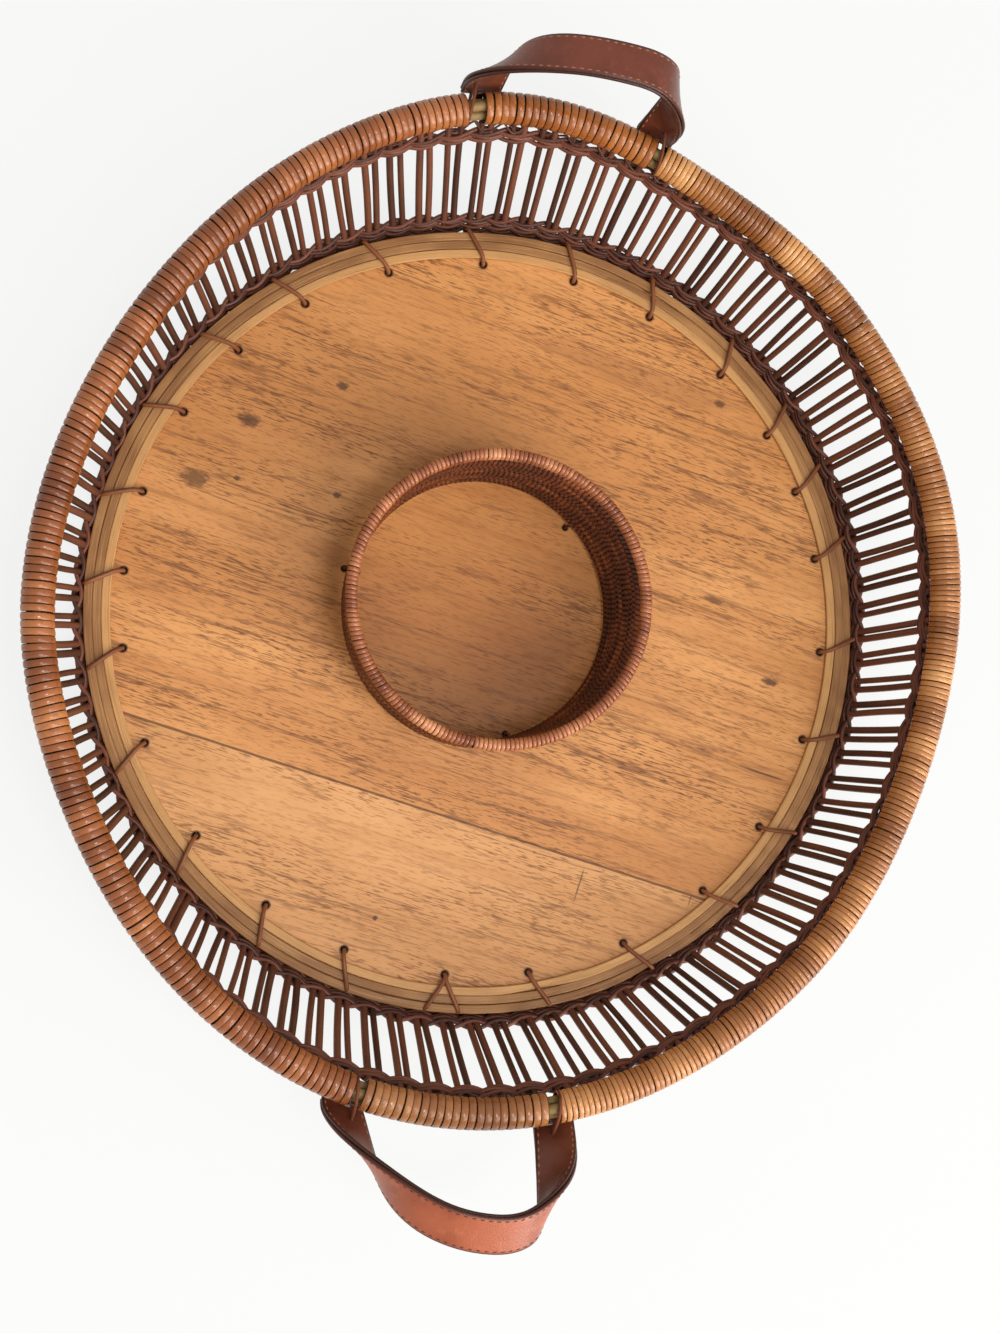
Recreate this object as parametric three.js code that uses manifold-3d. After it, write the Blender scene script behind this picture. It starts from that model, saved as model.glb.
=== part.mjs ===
// Rattan serving tray: a plywood board laced into an openwork gallery of paired stakes, a rim of cane
// rods under a wound strip, two leather strap handles that swing on the rim, and a coiled cup tied to
// the middle of the board.
// Millimetres, +Z up. The tray stands on z = 0, with its origin at the centre of the ring that it stands on.
// The handles lie on the Y axis. Heights in the code below count from the board's serving face.

import * as THREE from "three";
import { mergeVertices } from "three/addons/utils/BufferGeometryUtils.js";
import ManifoldModule from "manifold-3d";

const TAU = 2 * Math.PI;
const UP = new THREE.Vector3(0, 0, 1);
const degrees = THREE.MathUtils.degToRad;

// Clearance between neighbouring pieces that aren't fused
const FIT = 0.3;

// Board: a plywood core under a face of two veneer leaves that meet at a straight seam
const BOARD_RADIUS = 180;
const BOARD_SIDES = 48;
const CORE_THICKNESS = 3.7;
const VENEER_THICKNESS = 0.8;
const BOARD_LIFT = 3.5;
const SEAM_OFFSET = 94;
const SEAM_ANGLE = degrees(-11.2);

// Hoop of flat cane strips lying side by side on the board's edge
const HOOP_STRIP_NAMES = ["inner", "middle", "outer"];
const HOOP_JOINT_SEGMENTS = [32, 8, 34];
const HOOP_STRIP_WIDTH = 3.3;
const HOOP_STRIP_HEIGHT = 2.2;
const HOOP_STRIP_ROUNDING = 0.6;
const HOOP_SEGMENTS = 40;

// Gallery of straight stakes in pairs, standing on a border of their own folded ends
const PANELS = 16;
const PAIRS_PER_PANEL = 6;
const STAKE_DIAMETER = 3;
const STAKE_SIDES = 4;
const STAKE_PAIR_GAP = 0.5;
const STAKE_LEAN = degrees(1.2);
const FOOT_WIDTH = 4.4;
const FOOT_HEIGHT = 2.6;
const FOOT_SEGMENTS = 3;

// Rows of weavers, each a hoop inside the stakes and a hoop outside them. The low row is set by its height
// above the board, and the other two by their drop below the rim.
const LOW_ROW_RISE = 2;
const HIGH_ROW_DROP = 19.5;
const TOP_ROW_DROP = 13;
const WEAVER_DIAMETER = 2.2;
const WEAVER_SIDES = 4;
const WEAVER_SEGMENTS = 40;
const WEAVER_SLACK = 0.8;

// Lacing that sews the hoop and the lowest weaver to the board's edge
const LACE_STITCHES = 25;
const LACE_INSET = 3.5;
const LACE_START = degrees(10.9);
const LACE_SLANT = degrees(2.5);
const LACE_DIAMETER = 2.2;
const LACE_SIDES = 4;
const LACE_HOLE_DIAMETER = 3.8;
const HOLE_SIDES = 5;

// Rim: an oval drawn out towards the handles, three rods wide, under a wound strip of cane. It overhangs
// the stakes' border by the flare.
const RIM_HEIGHT = 58;
const RIM_FLARE = 12.9;
const RIM_DRAWN_OUT = 19.5;
const RIM_POINT_POWER = 3;
// Where the hand-bent rim strays from the oval: the place, how far out it goes, and over what spread
const RIM_BENDS = [
  { angle: degrees(21), out: 6.4, spread: degrees(22) },
  { angle: degrees(70.5), out: -5.5, spread: degrees(14) },
  { angle: degrees(145), out: -3.3, spread: degrees(29) },
  { angle: degrees(191), out: 1.8, spread: degrees(15) },
  { angle: degrees(322), out: 1.7, spread: degrees(14) },
];
const ROD_DIAMETER = 4.6;
const ROD_SIDES = 5;
const ROD_SEGMENTS = 40;
const WRAP_PITCH = 10.8;
const WRAP_SIDES = 7;
const WRAP_SLACK = 0.5;
const WRAP_WALL = 0.5;
const WRAP_CROWN = 0.6;
const WRAP_TURNS_PER_BORE_RING = 2.5;
const BARE_GAP = 6;

// Handles: a strap and its lining, tied through the bare gaps of the rim
const PAIRS_UNDER_HANDLE = 6;
const STRAP_WIDTH = 18;
const LEATHER_THICKNESS = 1.5;
const STRAP_STATIONS = 10;
const TAB_DROP = 2.5;
// The share of each leg over which the strap turns its flat side up
const TWIST_START = 0.15;
const TWIST_END = 0.7;
// Each arch as it was bent by hand: how it leans out, how high it rises, how broad its crown is, how far its
// crown lies to one side and is tilted, and how far its legs are set outside the bare gaps
const HANDLE_SHAPES = {
  back: { lean: degrees(4.6), rise: 54, crown: 49, skew: 6, tilt: degrees(4), splay: 0 },
  front: { lean: degrees(39.3), rise: 58, crown: 45, skew: -11, tilt: degrees(-8), splay: 2.7 },
};
const THONG_DIAMETER = 2;
const THONG_SIDES = 5;

// Cup: one coil of wound cane under a wound rim
const CUP_CENTRE_X = -2.6;
const CUP_CENTRE_Y = 3.7;
const CUP_RADIUS = 63.5;
const CUP_COIL_DIAMETER = 6;
const CUP_COIL_TURNS = 6;
const CUP_COIL_GAP = 0.6;
const CUP_COIL_SIDES = 5;
const CUP_COIL_SEGMENTS = 18;
const CUP_COIL_STEP_SHARE = 0.2;
const CUP_RIM_ROD_DIAMETER = 4.4;
const CUP_RIM_SEGMENTS = 24;
const CUP_WRAP_PITCH = 10.5;
const CUP_WRAP_SIDES = 6;
const CUP_WRAP_WALL = 0.5;
const CUP_WRAP_CROWN = 0.5;
const TIE_COUNT = 3;
const TIE_START = degrees(-70);
const TIE_DIAMETER = 1.4;
const TIE_HOLE_DIAMETER = 2.6;
const TIE_SIDES = 5;
const TIE_CORNER = 1;

// Sizes that follow from the ones above
const BOARD_UNDERSIDE = -CORE_THICKNESS - VENEER_THICKNESS;
const FOOT_BOTTOM = BOARD_UNDERSIDE - BOARD_LIFT;
const FOOT_MIDDLE = FOOT_BOTTOM + FOOT_HEIGHT / 2;
const PAIR_COUNT = PANELS * PAIRS_PER_PANEL;
const PAIR_PITCH = TAU / PAIR_COUNT;
const FOOT_RADIUS = BOARD_RADIUS + LACE_DIAMETER + 4 * FIT + FOOT_WIDTH / 2;
const HOOP_INNER_RADIUS = BOARD_RADIUS - HOOP_STRIP_NAMES.length * (HOOP_STRIP_WIDTH + FIT) + FIT;
const HOOP_TOP = FIT + HOOP_STRIP_HEIGHT;
const LACE_CIRCLE = HOOP_INNER_RADIUS - LACE_INSET;
const RIM_HALF_WIDTH = FOOT_RADIUS + RIM_FLARE;
const WEAVER_ROWS = { low: LOW_ROW_RISE, high: RIM_HEIGHT - HIGH_ROW_DROP, top: RIM_HEIGHT - TOP_ROW_DROP };
const ROD_OFFSET = (ROD_DIAMETER + FIT) / Math.sqrt(3);
const ROD_BUNDLE_RADIUS = ROD_OFFSET + ROD_DIAMETER / 2;
const WRAP_BORE = (ROD_BUNDLE_RADIUS + WRAP_SLACK) / Math.cos(Math.PI / WRAP_SIDES);
const WRAP_VALLEY = WRAP_BORE + WRAP_WALL;
const WRAP_CREST = WRAP_VALLEY + WRAP_CROWN;
const HANDLE_GAP_ANGLE = TAU / 4 - (PAIRS_UNDER_HANDLE / 2) * PAIR_PITCH;
const TIE_ANGLES = Array.from({ length: TIE_COUNT }, (_, i) => TIE_START + (TAU * i) / TIE_COUNT);
const CUP_COIL_START = TIE_START - TAU / TIE_COUNT / 2 + (TAU * CUP_COIL_STEP_SHARE) / 2;
const CUP_COIL_PITCH = CUP_COIL_DIAMETER + CUP_COIL_GAP;
const CUP_FIRST_STEP = CUP_COIL_DIAMETER + TIE_DIAMETER + 2 * FIT;
const CUP_COIL_TOP = FIT + CUP_FIRST_STEP + (CUP_COIL_TURNS - 2) * CUP_COIL_PITCH + CUP_COIL_DIAMETER;
const CUP_WRAP_BORE = (CUP_RIM_ROD_DIAMETER / 2 + FIT) / Math.cos(Math.PI / CUP_WRAP_SIDES);
const CUP_WRAP_VALLEY = CUP_WRAP_BORE + CUP_WRAP_WALL;
const CUP_WRAP_CREST = CUP_WRAP_VALLEY + CUP_WRAP_CROWN;
const CUP_RIM_HEIGHT = CUP_COIL_TOP + FIT + CUP_WRAP_CREST;

const MATERIALS = {
  plywood: finish("#b98d55", 0.7),
  veneer: finish("#c9985c", 0.5),
  hoop: finish("#c49a5a", 0.55),
  lacing: finish("#8a5a30", 0.6),
  stake: finish("#5d3826", 0.6),
  weaver: finish("#6a3a27", 0.6),
  rod: finish("#7b6a45", 0.65),
  wrap: finish("#b9773f", 0.4),
  leather: finish("#7a3f2b", 0.5),
  lining: finish("#6b3a2b", 0.6),
  thong: finish("#4d3226", 0.7),
  cupCoil: finish("#5a2a1a", 0.6),
  cupWrap: finish("#b0714f", 0.4),
};

const wasm = await ManifoldModule();
wasm.setup();

function finish(color, roughness) {
  return new THREE.MeshStandardMaterial({ color, roughness, metalness: 0 });
}

function polar(radius, angle, z) {
  return new THREE.Vector3(radius * Math.cos(angle), radius * Math.sin(angle), z);
}

function aroundCup(radius, angle, z) {
  return polar(radius, angle, z).add(new THREE.Vector3(CUP_CENTRE_X, CUP_CENTRE_Y, 0));
}

// A surface from points and triangles, turned so that its faces look outwards.
function surface(points, triangles) {
  let volume = 0;
  for (const [a, b, c] of triangles) {
    volume += points[a].dot(new THREE.Vector3().crossVectors(points[b], points[c]));
  }
  const faces = volume < 0 ? triangles.map(([a, b, c]) => [a, c, b]) : triangles;
  const geometry = new THREE.BufferGeometry().setFromPoints(points);
  geometry.setIndex(faces.flat());
  return geometry;
}

// The skin over a row of equal rings. A looped row joins its last ring to its first, and an open row
// is closed by a flat cap at each end.
function loft(rings, looped = false) {
  const size = rings[0].length;
  const triangles = [];
  const spans = looped ? rings.length : rings.length - 1;
  for (let row = 0; row < spans; row += 1) {
    const here = row * size;
    const there = ((row + 1) % rings.length) * size;
    for (let i = 0; i < size; i += 1) {
      const j = (i + 1) % size;
      triangles.push([here + i, here + j, there + j], [here + i, there + j, there + i]);
    }
  }
  if (!looped) {
    const last = (rings.length - 1) * size;
    for (let i = 1; i < size - 1; i += 1) {
      triangles.push([0, i + 1, i], [last, last + i, last + i + 1]);
    }
  }
  return surface(rings.flat(), triangles);
}

// A round tube along a route of points. Its sections keep one side turned to `facing` where that is
// given, and are otherwise carried along the route without twisting.
function tube(route, diameter, sides, { looped = false, facing = null } = {}) {
  const count = route.length;
  let side = facing;
  const rings = route.map((point, i) => {
    const before = looped ? route[(i + count - 1) % count] : route[Math.max(i - 1, 0)];
    const after = looped ? route[(i + 1) % count] : route[Math.min(i + 1, count - 1)];
    const arriving = point.clone().sub(before).normalize();
    const leaving = after.clone().sub(point).normalize();
    const along = arriving.add(leaving).normalize();
    const start = facing ?? side ?? (Math.abs(along.z) < 0.9 ? UP : new THREE.Vector3(1, 0, 0));
    side = start.clone().addScaledVector(along, -start.dot(along)).normalize();
    const across = new THREE.Vector3().crossVectors(along, side);
    return Array.from({ length: sides }, (_, k) => {
      const turn = (TAU * k) / sides;
      const ring = point.clone().addScaledVector(side, (diameter / 2) * Math.cos(turn));
      return ring.addScaledVector(across, (diameter / 2) * Math.sin(turn));
    });
  });
  return loft(rings, looped);
}

// A convex [radius, z] outline turned about the Z axis from one angle to another.
function turnedArc(outline, start, end, segments) {
  const rings = Array.from({ length: segments + 1 }, (_, i) => {
    const angle = start + ((end - start) * i) / segments;
    return outline.map(([radius, z]) => polar(radius, angle, z));
  });
  return loft(rings);
}

// A strip wound closely round a curved rod as one unbroken helix, with a bore for the rod.
// `sectionAt` gives the rod's centre and outward direction at an angle.
function woundStrip(sectionAt, { start, end, turns, sides, bore, valley, crest, boreRings }) {
  const points = [];
  const add = (angle, radius, k) => {
    const { centre, outward } = sectionAt(angle);
    const turn = (TAU * k) / sides;
    centre.addScaledVector(outward, radius * Math.cos(turn));
    centre.addScaledVector(UP, radius * Math.sin(turn));
    return points.push(centre) - 1;
  };
  const steps = turns * sides;
  const stepAngle = (end - start) / steps;
  const ridge = [];
  const groove = [];
  for (let n = 0; n <= steps; n += 1) {
    ridge.push(add(start + n * stepAngle, crest, n));
  }
  for (let n = 0; n <= steps - sides; n += 1) {
    groove.push(add(start + (n + sides / 2) * stepAngle, valley, n));
  }
  const hollow = [];
  for (let ring = 0; ring <= boreRings; ring += 1) {
    const angle = start + ((end - start) * ring) / boreRings;
    hollow.push(Array.from({ length: sides }, (_, k) => add(angle, bore, k)));
  }

  const triangles = [];
  for (let n = 0; n < steps - sides; n += 1) {
    triangles.push([ridge[n], ridge[n + 1], groove[n + 1]], [ridge[n], groove[n + 1], groove[n]]);
    const next = n + sides;
    triangles.push([groove[n], groove[n + 1], ridge[next + 1]], [groove[n], ridge[next + 1], ridge[next]]);
  }
  for (let ring = 0; ring < boreRings; ring += 1) {
    const [here, there] = [hollow[ring], hollow[ring + 1]];
    for (let k = 0; k < sides; k += 1) {
      const j = (k + 1) % sides;
      triangles.push([here[j], here[k], there[k]], [here[j], there[k], there[j]]);
    }
  }
  const first = hollow[0];
  const last = hollow[boreRings];
  const tail = steps - sides;
  for (let k = 0; k < sides; k += 1) {
    const j = (k + 1) % sides;
    triangles.push([ridge[k + 1], ridge[k], first[k]], [ridge[k + 1], first[k], first[j]]);
    triangles.push([ridge[tail + k], ridge[tail + k + 1], last[j]], [ridge[tail + k], last[j], last[k]]);
  }
  triangles.push([ridge[0], groove[0], first[0]], [groove[0], ridge[sides], first[0]]);
  triangles.push([groove[tail], ridge[tail], last[0]], [ridge[steps], groove[tail], last[0]]);
  return surface(points, triangles);
}

function toSolid(geometry) {
  const bare = geometry.clone();
  bare.deleteAttribute("normal");
  bare.deleteAttribute("uv");
  const merged = mergeVertices(bare, 1e-4);
  const vertProperties = new Float32Array(merged.getAttribute("position").array);
  const triVerts = new Uint32Array(merged.index.array);
  return new wasm.Manifold(new wasm.Mesh({ numProp: 3, vertProperties, triVerts }));
}

function fromSolid(solid) {
  const { vertProperties, triVerts } = solid.getMesh();
  const geometry = new THREE.BufferGeometry();
  geometry.setAttribute("position", new THREE.BufferAttribute(new Float32Array(vertProperties), 3));
  geometry.setIndex(new THREE.BufferAttribute(new Uint32Array(triVerts), 1));
  return geometry;
}

function joined(geometries) {
  const [first, ...rest] = geometries.map(toSolid);
  return fromSolid(rest.reduce((whole, next) => whole.add(next), first));
}

function cut(geometry, cutters) {
  return fromSolid(cutters.map(toSolid).reduce((rest, cutter) => rest.subtract(cutter), toSolid(geometry)));
}

// The smallest clear distance between parts of a wound tube that lie far apart along it.
function leastSelfGap(route, diameter, farApart) {
  let least = Infinity;
  for (let i = 0; i < route.length; i += 1) {
    for (let j = i + farApart; j < route.length; j += 1) {
      least = Math.min(least, route[i].distanceTo(route[j]) - diameter);
    }
  }
  return least;
}

const tray = new THREE.Group();
tray.name = "rattan_serving_tray";

function place(name, geometry, material) {
  geometry.computeVertexNormals();
  const mesh = new THREE.Mesh(geometry, material);
  mesh.name = name;
  tray.add(mesh);
}

// Rim and gallery

function rimPoint(angle) {
  let radius = RIM_HALF_WIDTH + RIM_DRAWN_OUT * Math.abs(Math.sin(angle)) ** RIM_POINT_POWER;
  for (const bend of RIM_BENDS) {
    const away = Math.atan2(Math.sin(angle - bend.angle), Math.cos(angle - bend.angle));
    radius += bend.out * Math.exp(-((away / bend.spread) ** 2));
  }
  return polar(radius, angle, RIM_HEIGHT);
}

function rimSection(angle) {
  const nudge = 1e-3;
  const along = rimPoint(angle + nudge).sub(rimPoint(angle - nudge)).normalize();
  return { centre: rimPoint(angle), outward: new THREE.Vector3(along.y, -along.x, 0), along };
}

// The point at a height on the line of a stake whose head meets the rim at this angle.
function galleryPoint(angle, z) {
  const foot = polar(FOOT_RADIUS, angle - STAKE_LEAN, FOOT_MIDDLE);
  const head = rimPoint(angle);
  return foot.lerp(head, (z - FOOT_MIDDLE) / (RIM_HEIGHT - FOOT_MIDDLE));
}

function pushedOut(point, distance) {
  const outward = new THREE.Vector3(point.x, point.y, 0).normalize();
  return point.clone().addScaledVector(outward, distance);
}

function stake(angle) {
  const foot = galleryPoint(angle, FOOT_MIDDLE);
  const head = rimPoint(angle);
  const share = 1 - (WRAP_CREST + FIT) / foot.distanceTo(head);
  const facing = polar(1, angle, 0);
  return tube([foot, foot.clone().lerp(head, share)], STAKE_DIAMETER, STAKE_SIDES, { facing });
}

function buildGallery() {
  const inner = FOOT_RADIUS - FOOT_WIDTH / 2;
  const outer = FOOT_RADIUS + FOOT_WIDTH / 2;
  const border = [[inner, FOOT_BOTTOM], [outer, FOOT_BOTTOM]];
  border.push([outer, FOOT_BOTTOM + FOOT_HEIGHT], [inner, FOOT_BOTTOM + FOOT_HEIGHT]);
  const panelAngle = PAIRS_PER_PANEL * PAIR_PITCH;
  const halfGap = FIT / 2 / FOOT_RADIUS;
  const halfPair = (STAKE_DIAMETER + STAKE_PAIR_GAP) / 2 / FOOT_RADIUS;
  for (let panel = 0; panel < PANELS; panel += 1) {
    const start = panel * panelAngle;
    const footStart = start - STAKE_LEAN;
    const pieces = [turnedArc(border, footStart + halfGap, footStart + panelAngle - halfGap, FOOT_SEGMENTS)];
    for (let pair = 0; pair < PAIRS_PER_PANEL; pair += 1) {
      const middle = start + (pair + 0.5) * PAIR_PITCH;
      pieces.push(stake(middle - halfPair), stake(middle + halfPair));
    }
    place(`stake_panel_${String(panel + 1).padStart(2, "0")}`, joined(pieces), MATERIALS.stake);
  }
}

// How far a weaver's centre lies from the stakes' centres. The outer hoop has slack for its chords.
function weaverOffset(layer) {
  const touching = (STAKE_DIAMETER + WEAVER_DIAMETER) / 2 + FIT;
  return layer === "inner" ? -touching : touching + WEAVER_SLACK;
}

function buildWeavers() {
  for (const [row, height] of Object.entries(WEAVER_ROWS)) {
    for (const layer of ["inner", "outer"]) {
      const route = Array.from({ length: WEAVER_SEGMENTS }, (_, i) => {
        return pushedOut(galleryPoint((TAU * i) / WEAVER_SEGMENTS, height), weaverOffset(layer));
      });
      const hoop = tube(route, WEAVER_DIAMETER, WEAVER_SIDES, { looped: true, facing: UP });
      place(`weaver_${row}_${layer}`, hoop, MATERIALS.weaver);
    }
  }
}

function buildRim() {
  const rods = { top: degrees(90), inner: degrees(210), outer: degrees(-30) };
  for (const [name, turn] of Object.entries(rods)) {
    const route = Array.from({ length: ROD_SEGMENTS }, (_, i) => {
      const { centre, outward } = rimSection((TAU * i) / ROD_SEGMENTS);
      centre.addScaledVector(outward, ROD_OFFSET * Math.cos(turn));
      return centre.addScaledVector(UP, ROD_OFFSET * Math.sin(turn));
    });
    place(`rim_rod_${name}`, tube(route, ROD_DIAMETER, ROD_SIDES, { looped: true, facing: UP }), MATERIALS.rod);
  }

  const quarter = TAU / 4;
  const bareAngle = BARE_GAP / 2 / rimPoint(HANDLE_GAP_ANGLE).length();
  const sideReach = HANDLE_GAP_ANGLE - bareAngle;
  const endReach = quarter - HANDLE_GAP_ANGLE - bareAngle;
  const sections = { right: [0, sideReach], back: [quarter, endReach] };
  sections.left = [2 * quarter, sideReach];
  sections.front = [3 * quarter, endReach];
  for (const [name, [middle, reach]] of Object.entries(sections)) {
    const length = 2 * reach * rimPoint(middle).setZ(0).length();
    const turns = Math.round(length / WRAP_PITCH);
    const wrap = woundStrip(rimSection, {
      start: middle - reach,
      end: middle + reach,
      turns,
      sides: WRAP_SIDES,
      bore: WRAP_BORE,
      valley: WRAP_VALLEY,
      crest: WRAP_CREST,
      boreRings: Math.ceil(turns / WRAP_TURNS_PER_BORE_RING),
    });
    place(`rim_wrap_${name}`, wrap, MATERIALS.wrap);
  }
}

// Board, hoop and lacing

function tieRoute(angle) {
  const reach = (CUP_COIL_DIAMETER + TIE_DIAMETER) / 2 + FIT;
  const [near, far] = [CUP_RADIUS - reach, CUP_RADIUS + reach];
  const top = FIT + CUP_COIL_DIAMETER + FIT + TIE_DIAMETER / 2;
  const bottom = BOARD_UNDERSIDE - FIT - TIE_DIAMETER / 2;
  const outline = [
    [near, bottom + TIE_CORNER], [near, top - TIE_CORNER], [near + TIE_CORNER, top],
    [far - TIE_CORNER, top], [far, top - TIE_CORNER], [far, bottom + TIE_CORNER],
    [far - TIE_CORNER, bottom], [near + TIE_CORNER, bottom],
  ];
  return { near, far, route: outline.map(([radius, z]) => aroundCup(radius, angle, z)) };
}

function regularPoints(centreX, centreY, radius, sides) {
  return Array.from({ length: sides }, (_, k) => {
    const turn = (TAU * k) / sides;
    return new THREE.Vector2(centreX + radius * Math.cos(turn), centreY + radius * Math.sin(turn));
  });
}

// A disc of the board's outline with the lacing holes and the cup's tie holes through it.
function boardDisc(bottom, thickness) {
  const shape = new THREE.Shape(regularPoints(0, 0, BOARD_RADIUS, BOARD_SIDES));
  const drill = ({ x, y }, diameter) => {
    shape.holes.push(new THREE.Path(regularPoints(x, y, diameter / 2, HOLE_SIDES)));
  };
  for (let stitch = 0; stitch < LACE_STITCHES; stitch += 1) {
    drill(polar(LACE_CIRCLE, LACE_START + (TAU * stitch) / LACE_STITCHES, 0), LACE_HOLE_DIAMETER);
  }
  for (const angle of TIE_ANGLES) {
    const { near, far } = tieRoute(angle);
    drill(aroundCup(near, angle, 0), TIE_HOLE_DIAMETER);
    drill(aroundCup(far, angle, 0), TIE_HOLE_DIAMETER);
  }
  const disc = new THREE.ExtrudeGeometry(shape, { depth: thickness, bevelEnabled: false });
  return disc.translate(0, 0, bottom);
}

// A block that covers everything on one side of the seam.
function besideSeam(direction) {
  const size = 4 * BOARD_RADIUS;
  const block = new THREE.BoxGeometry(size, size, size);
  block.translate(0, direction * (size + FIT) / 2, 0);
  block.translate(0, -SEAM_OFFSET, 0);
  return block.rotateZ(SEAM_ANGLE);
}

function buildBoard() {
  place("base_core", fromSolid(toSolid(boardDisc(BOARD_UNDERSIDE, CORE_THICKNESS))), MATERIALS.plywood);
  const face = boardDisc(-VENEER_THICKNESS, VENEER_THICKNESS);
  place("face_veneer_main", fromSolid(toSolid(face).intersect(toSolid(besideSeam(1)))), MATERIALS.veneer);
  place("face_veneer_side", fromSolid(toSolid(face).intersect(toSolid(besideSeam(-1)))), MATERIALS.veneer);

  HOOP_STRIP_NAMES.forEach((name, i) => {
    const near = HOOP_INNER_RADIUS + i * (HOOP_STRIP_WIDTH + FIT);
    const far = near + HOOP_STRIP_WIDTH;
    const outline = [[near, FIT], [far, FIT]];
    outline.push([far - HOOP_STRIP_ROUNDING, HOOP_TOP], [near + HOOP_STRIP_ROUNDING, HOOP_TOP]);
    const halfGap = FIT / near;
    const start = (TAU * HOOP_JOINT_SEGMENTS[i]) / HOOP_SEGMENTS + halfGap;
    const strip = turnedArc(outline, start, start + TAU - 2 * halfGap, HOOP_SEGMENTS);
    place(`hoop_strip_${name}`, strip, MATERIALS.hoop);
  });
}

// One stitch: up through its hole, aslant over the hoop, down outside the lowest weaver through the
// nearest opening between stakes, and under the board towards the next hole.
function laceStitch(stitch) {
  const holeAngle = LACE_START + (TAU * stitch) / LACE_STITCHES;
  const opening = PAIR_PITCH * Math.round((holeAngle + LACE_SLANT + STAKE_LEAN) / PAIR_PITCH);
  const standOff = LACE_DIAMETER / 2 + FIT;
  const under = BOARD_UNDERSIDE - standOff;
  const weaver = pushedOut(galleryPoint(opening, WEAVER_ROWS.low), weaverOffset("inner"));
  const overWeaver = weaver.clone();
  overWeaver.z += (WEAVER_DIAMETER + LACE_DIAMETER) / 2 + 2 * FIT;
  const besideBoard = (BOARD_RADIUS + FOOT_RADIUS - FOOT_WIDTH / 2) / 2;
  const openingAngle = Math.atan2(weaver.y, weaver.x);
  return [
    polar(LACE_CIRCLE, holeAngle, under),
    polar(LACE_CIRCLE, holeAngle, standOff),
    polar(HOOP_INNER_RADIUS, holeAngle, HOOP_TOP + standOff),
    overWeaver,
    galleryPoint(opening, WEAVER_ROWS.low + WEAVER_DIAMETER / 2),
    galleryPoint(opening, WEAVER_ROWS.low - WEAVER_DIAMETER),
    polar(besideBoard, openingAngle, BOARD_UNDERSIDE / 2 - LACE_DIAMETER / 2),
    polar(besideBoard, openingAngle, under),
  ];
}

function buildLacing() {
  const route = Array.from({ length: LACE_STITCHES }, (_, stitch) => laceStitch(stitch)).flat();
  place("edge_lacing", tube(route, LACE_DIAMETER, LACE_SIDES), MATERIALS.lacing);
  console.log(`edge lacing: least self-gap ${leastSelfGap(route, LACE_DIAMETER, 4).toFixed(2)} mm`);
}

// Handles

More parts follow.
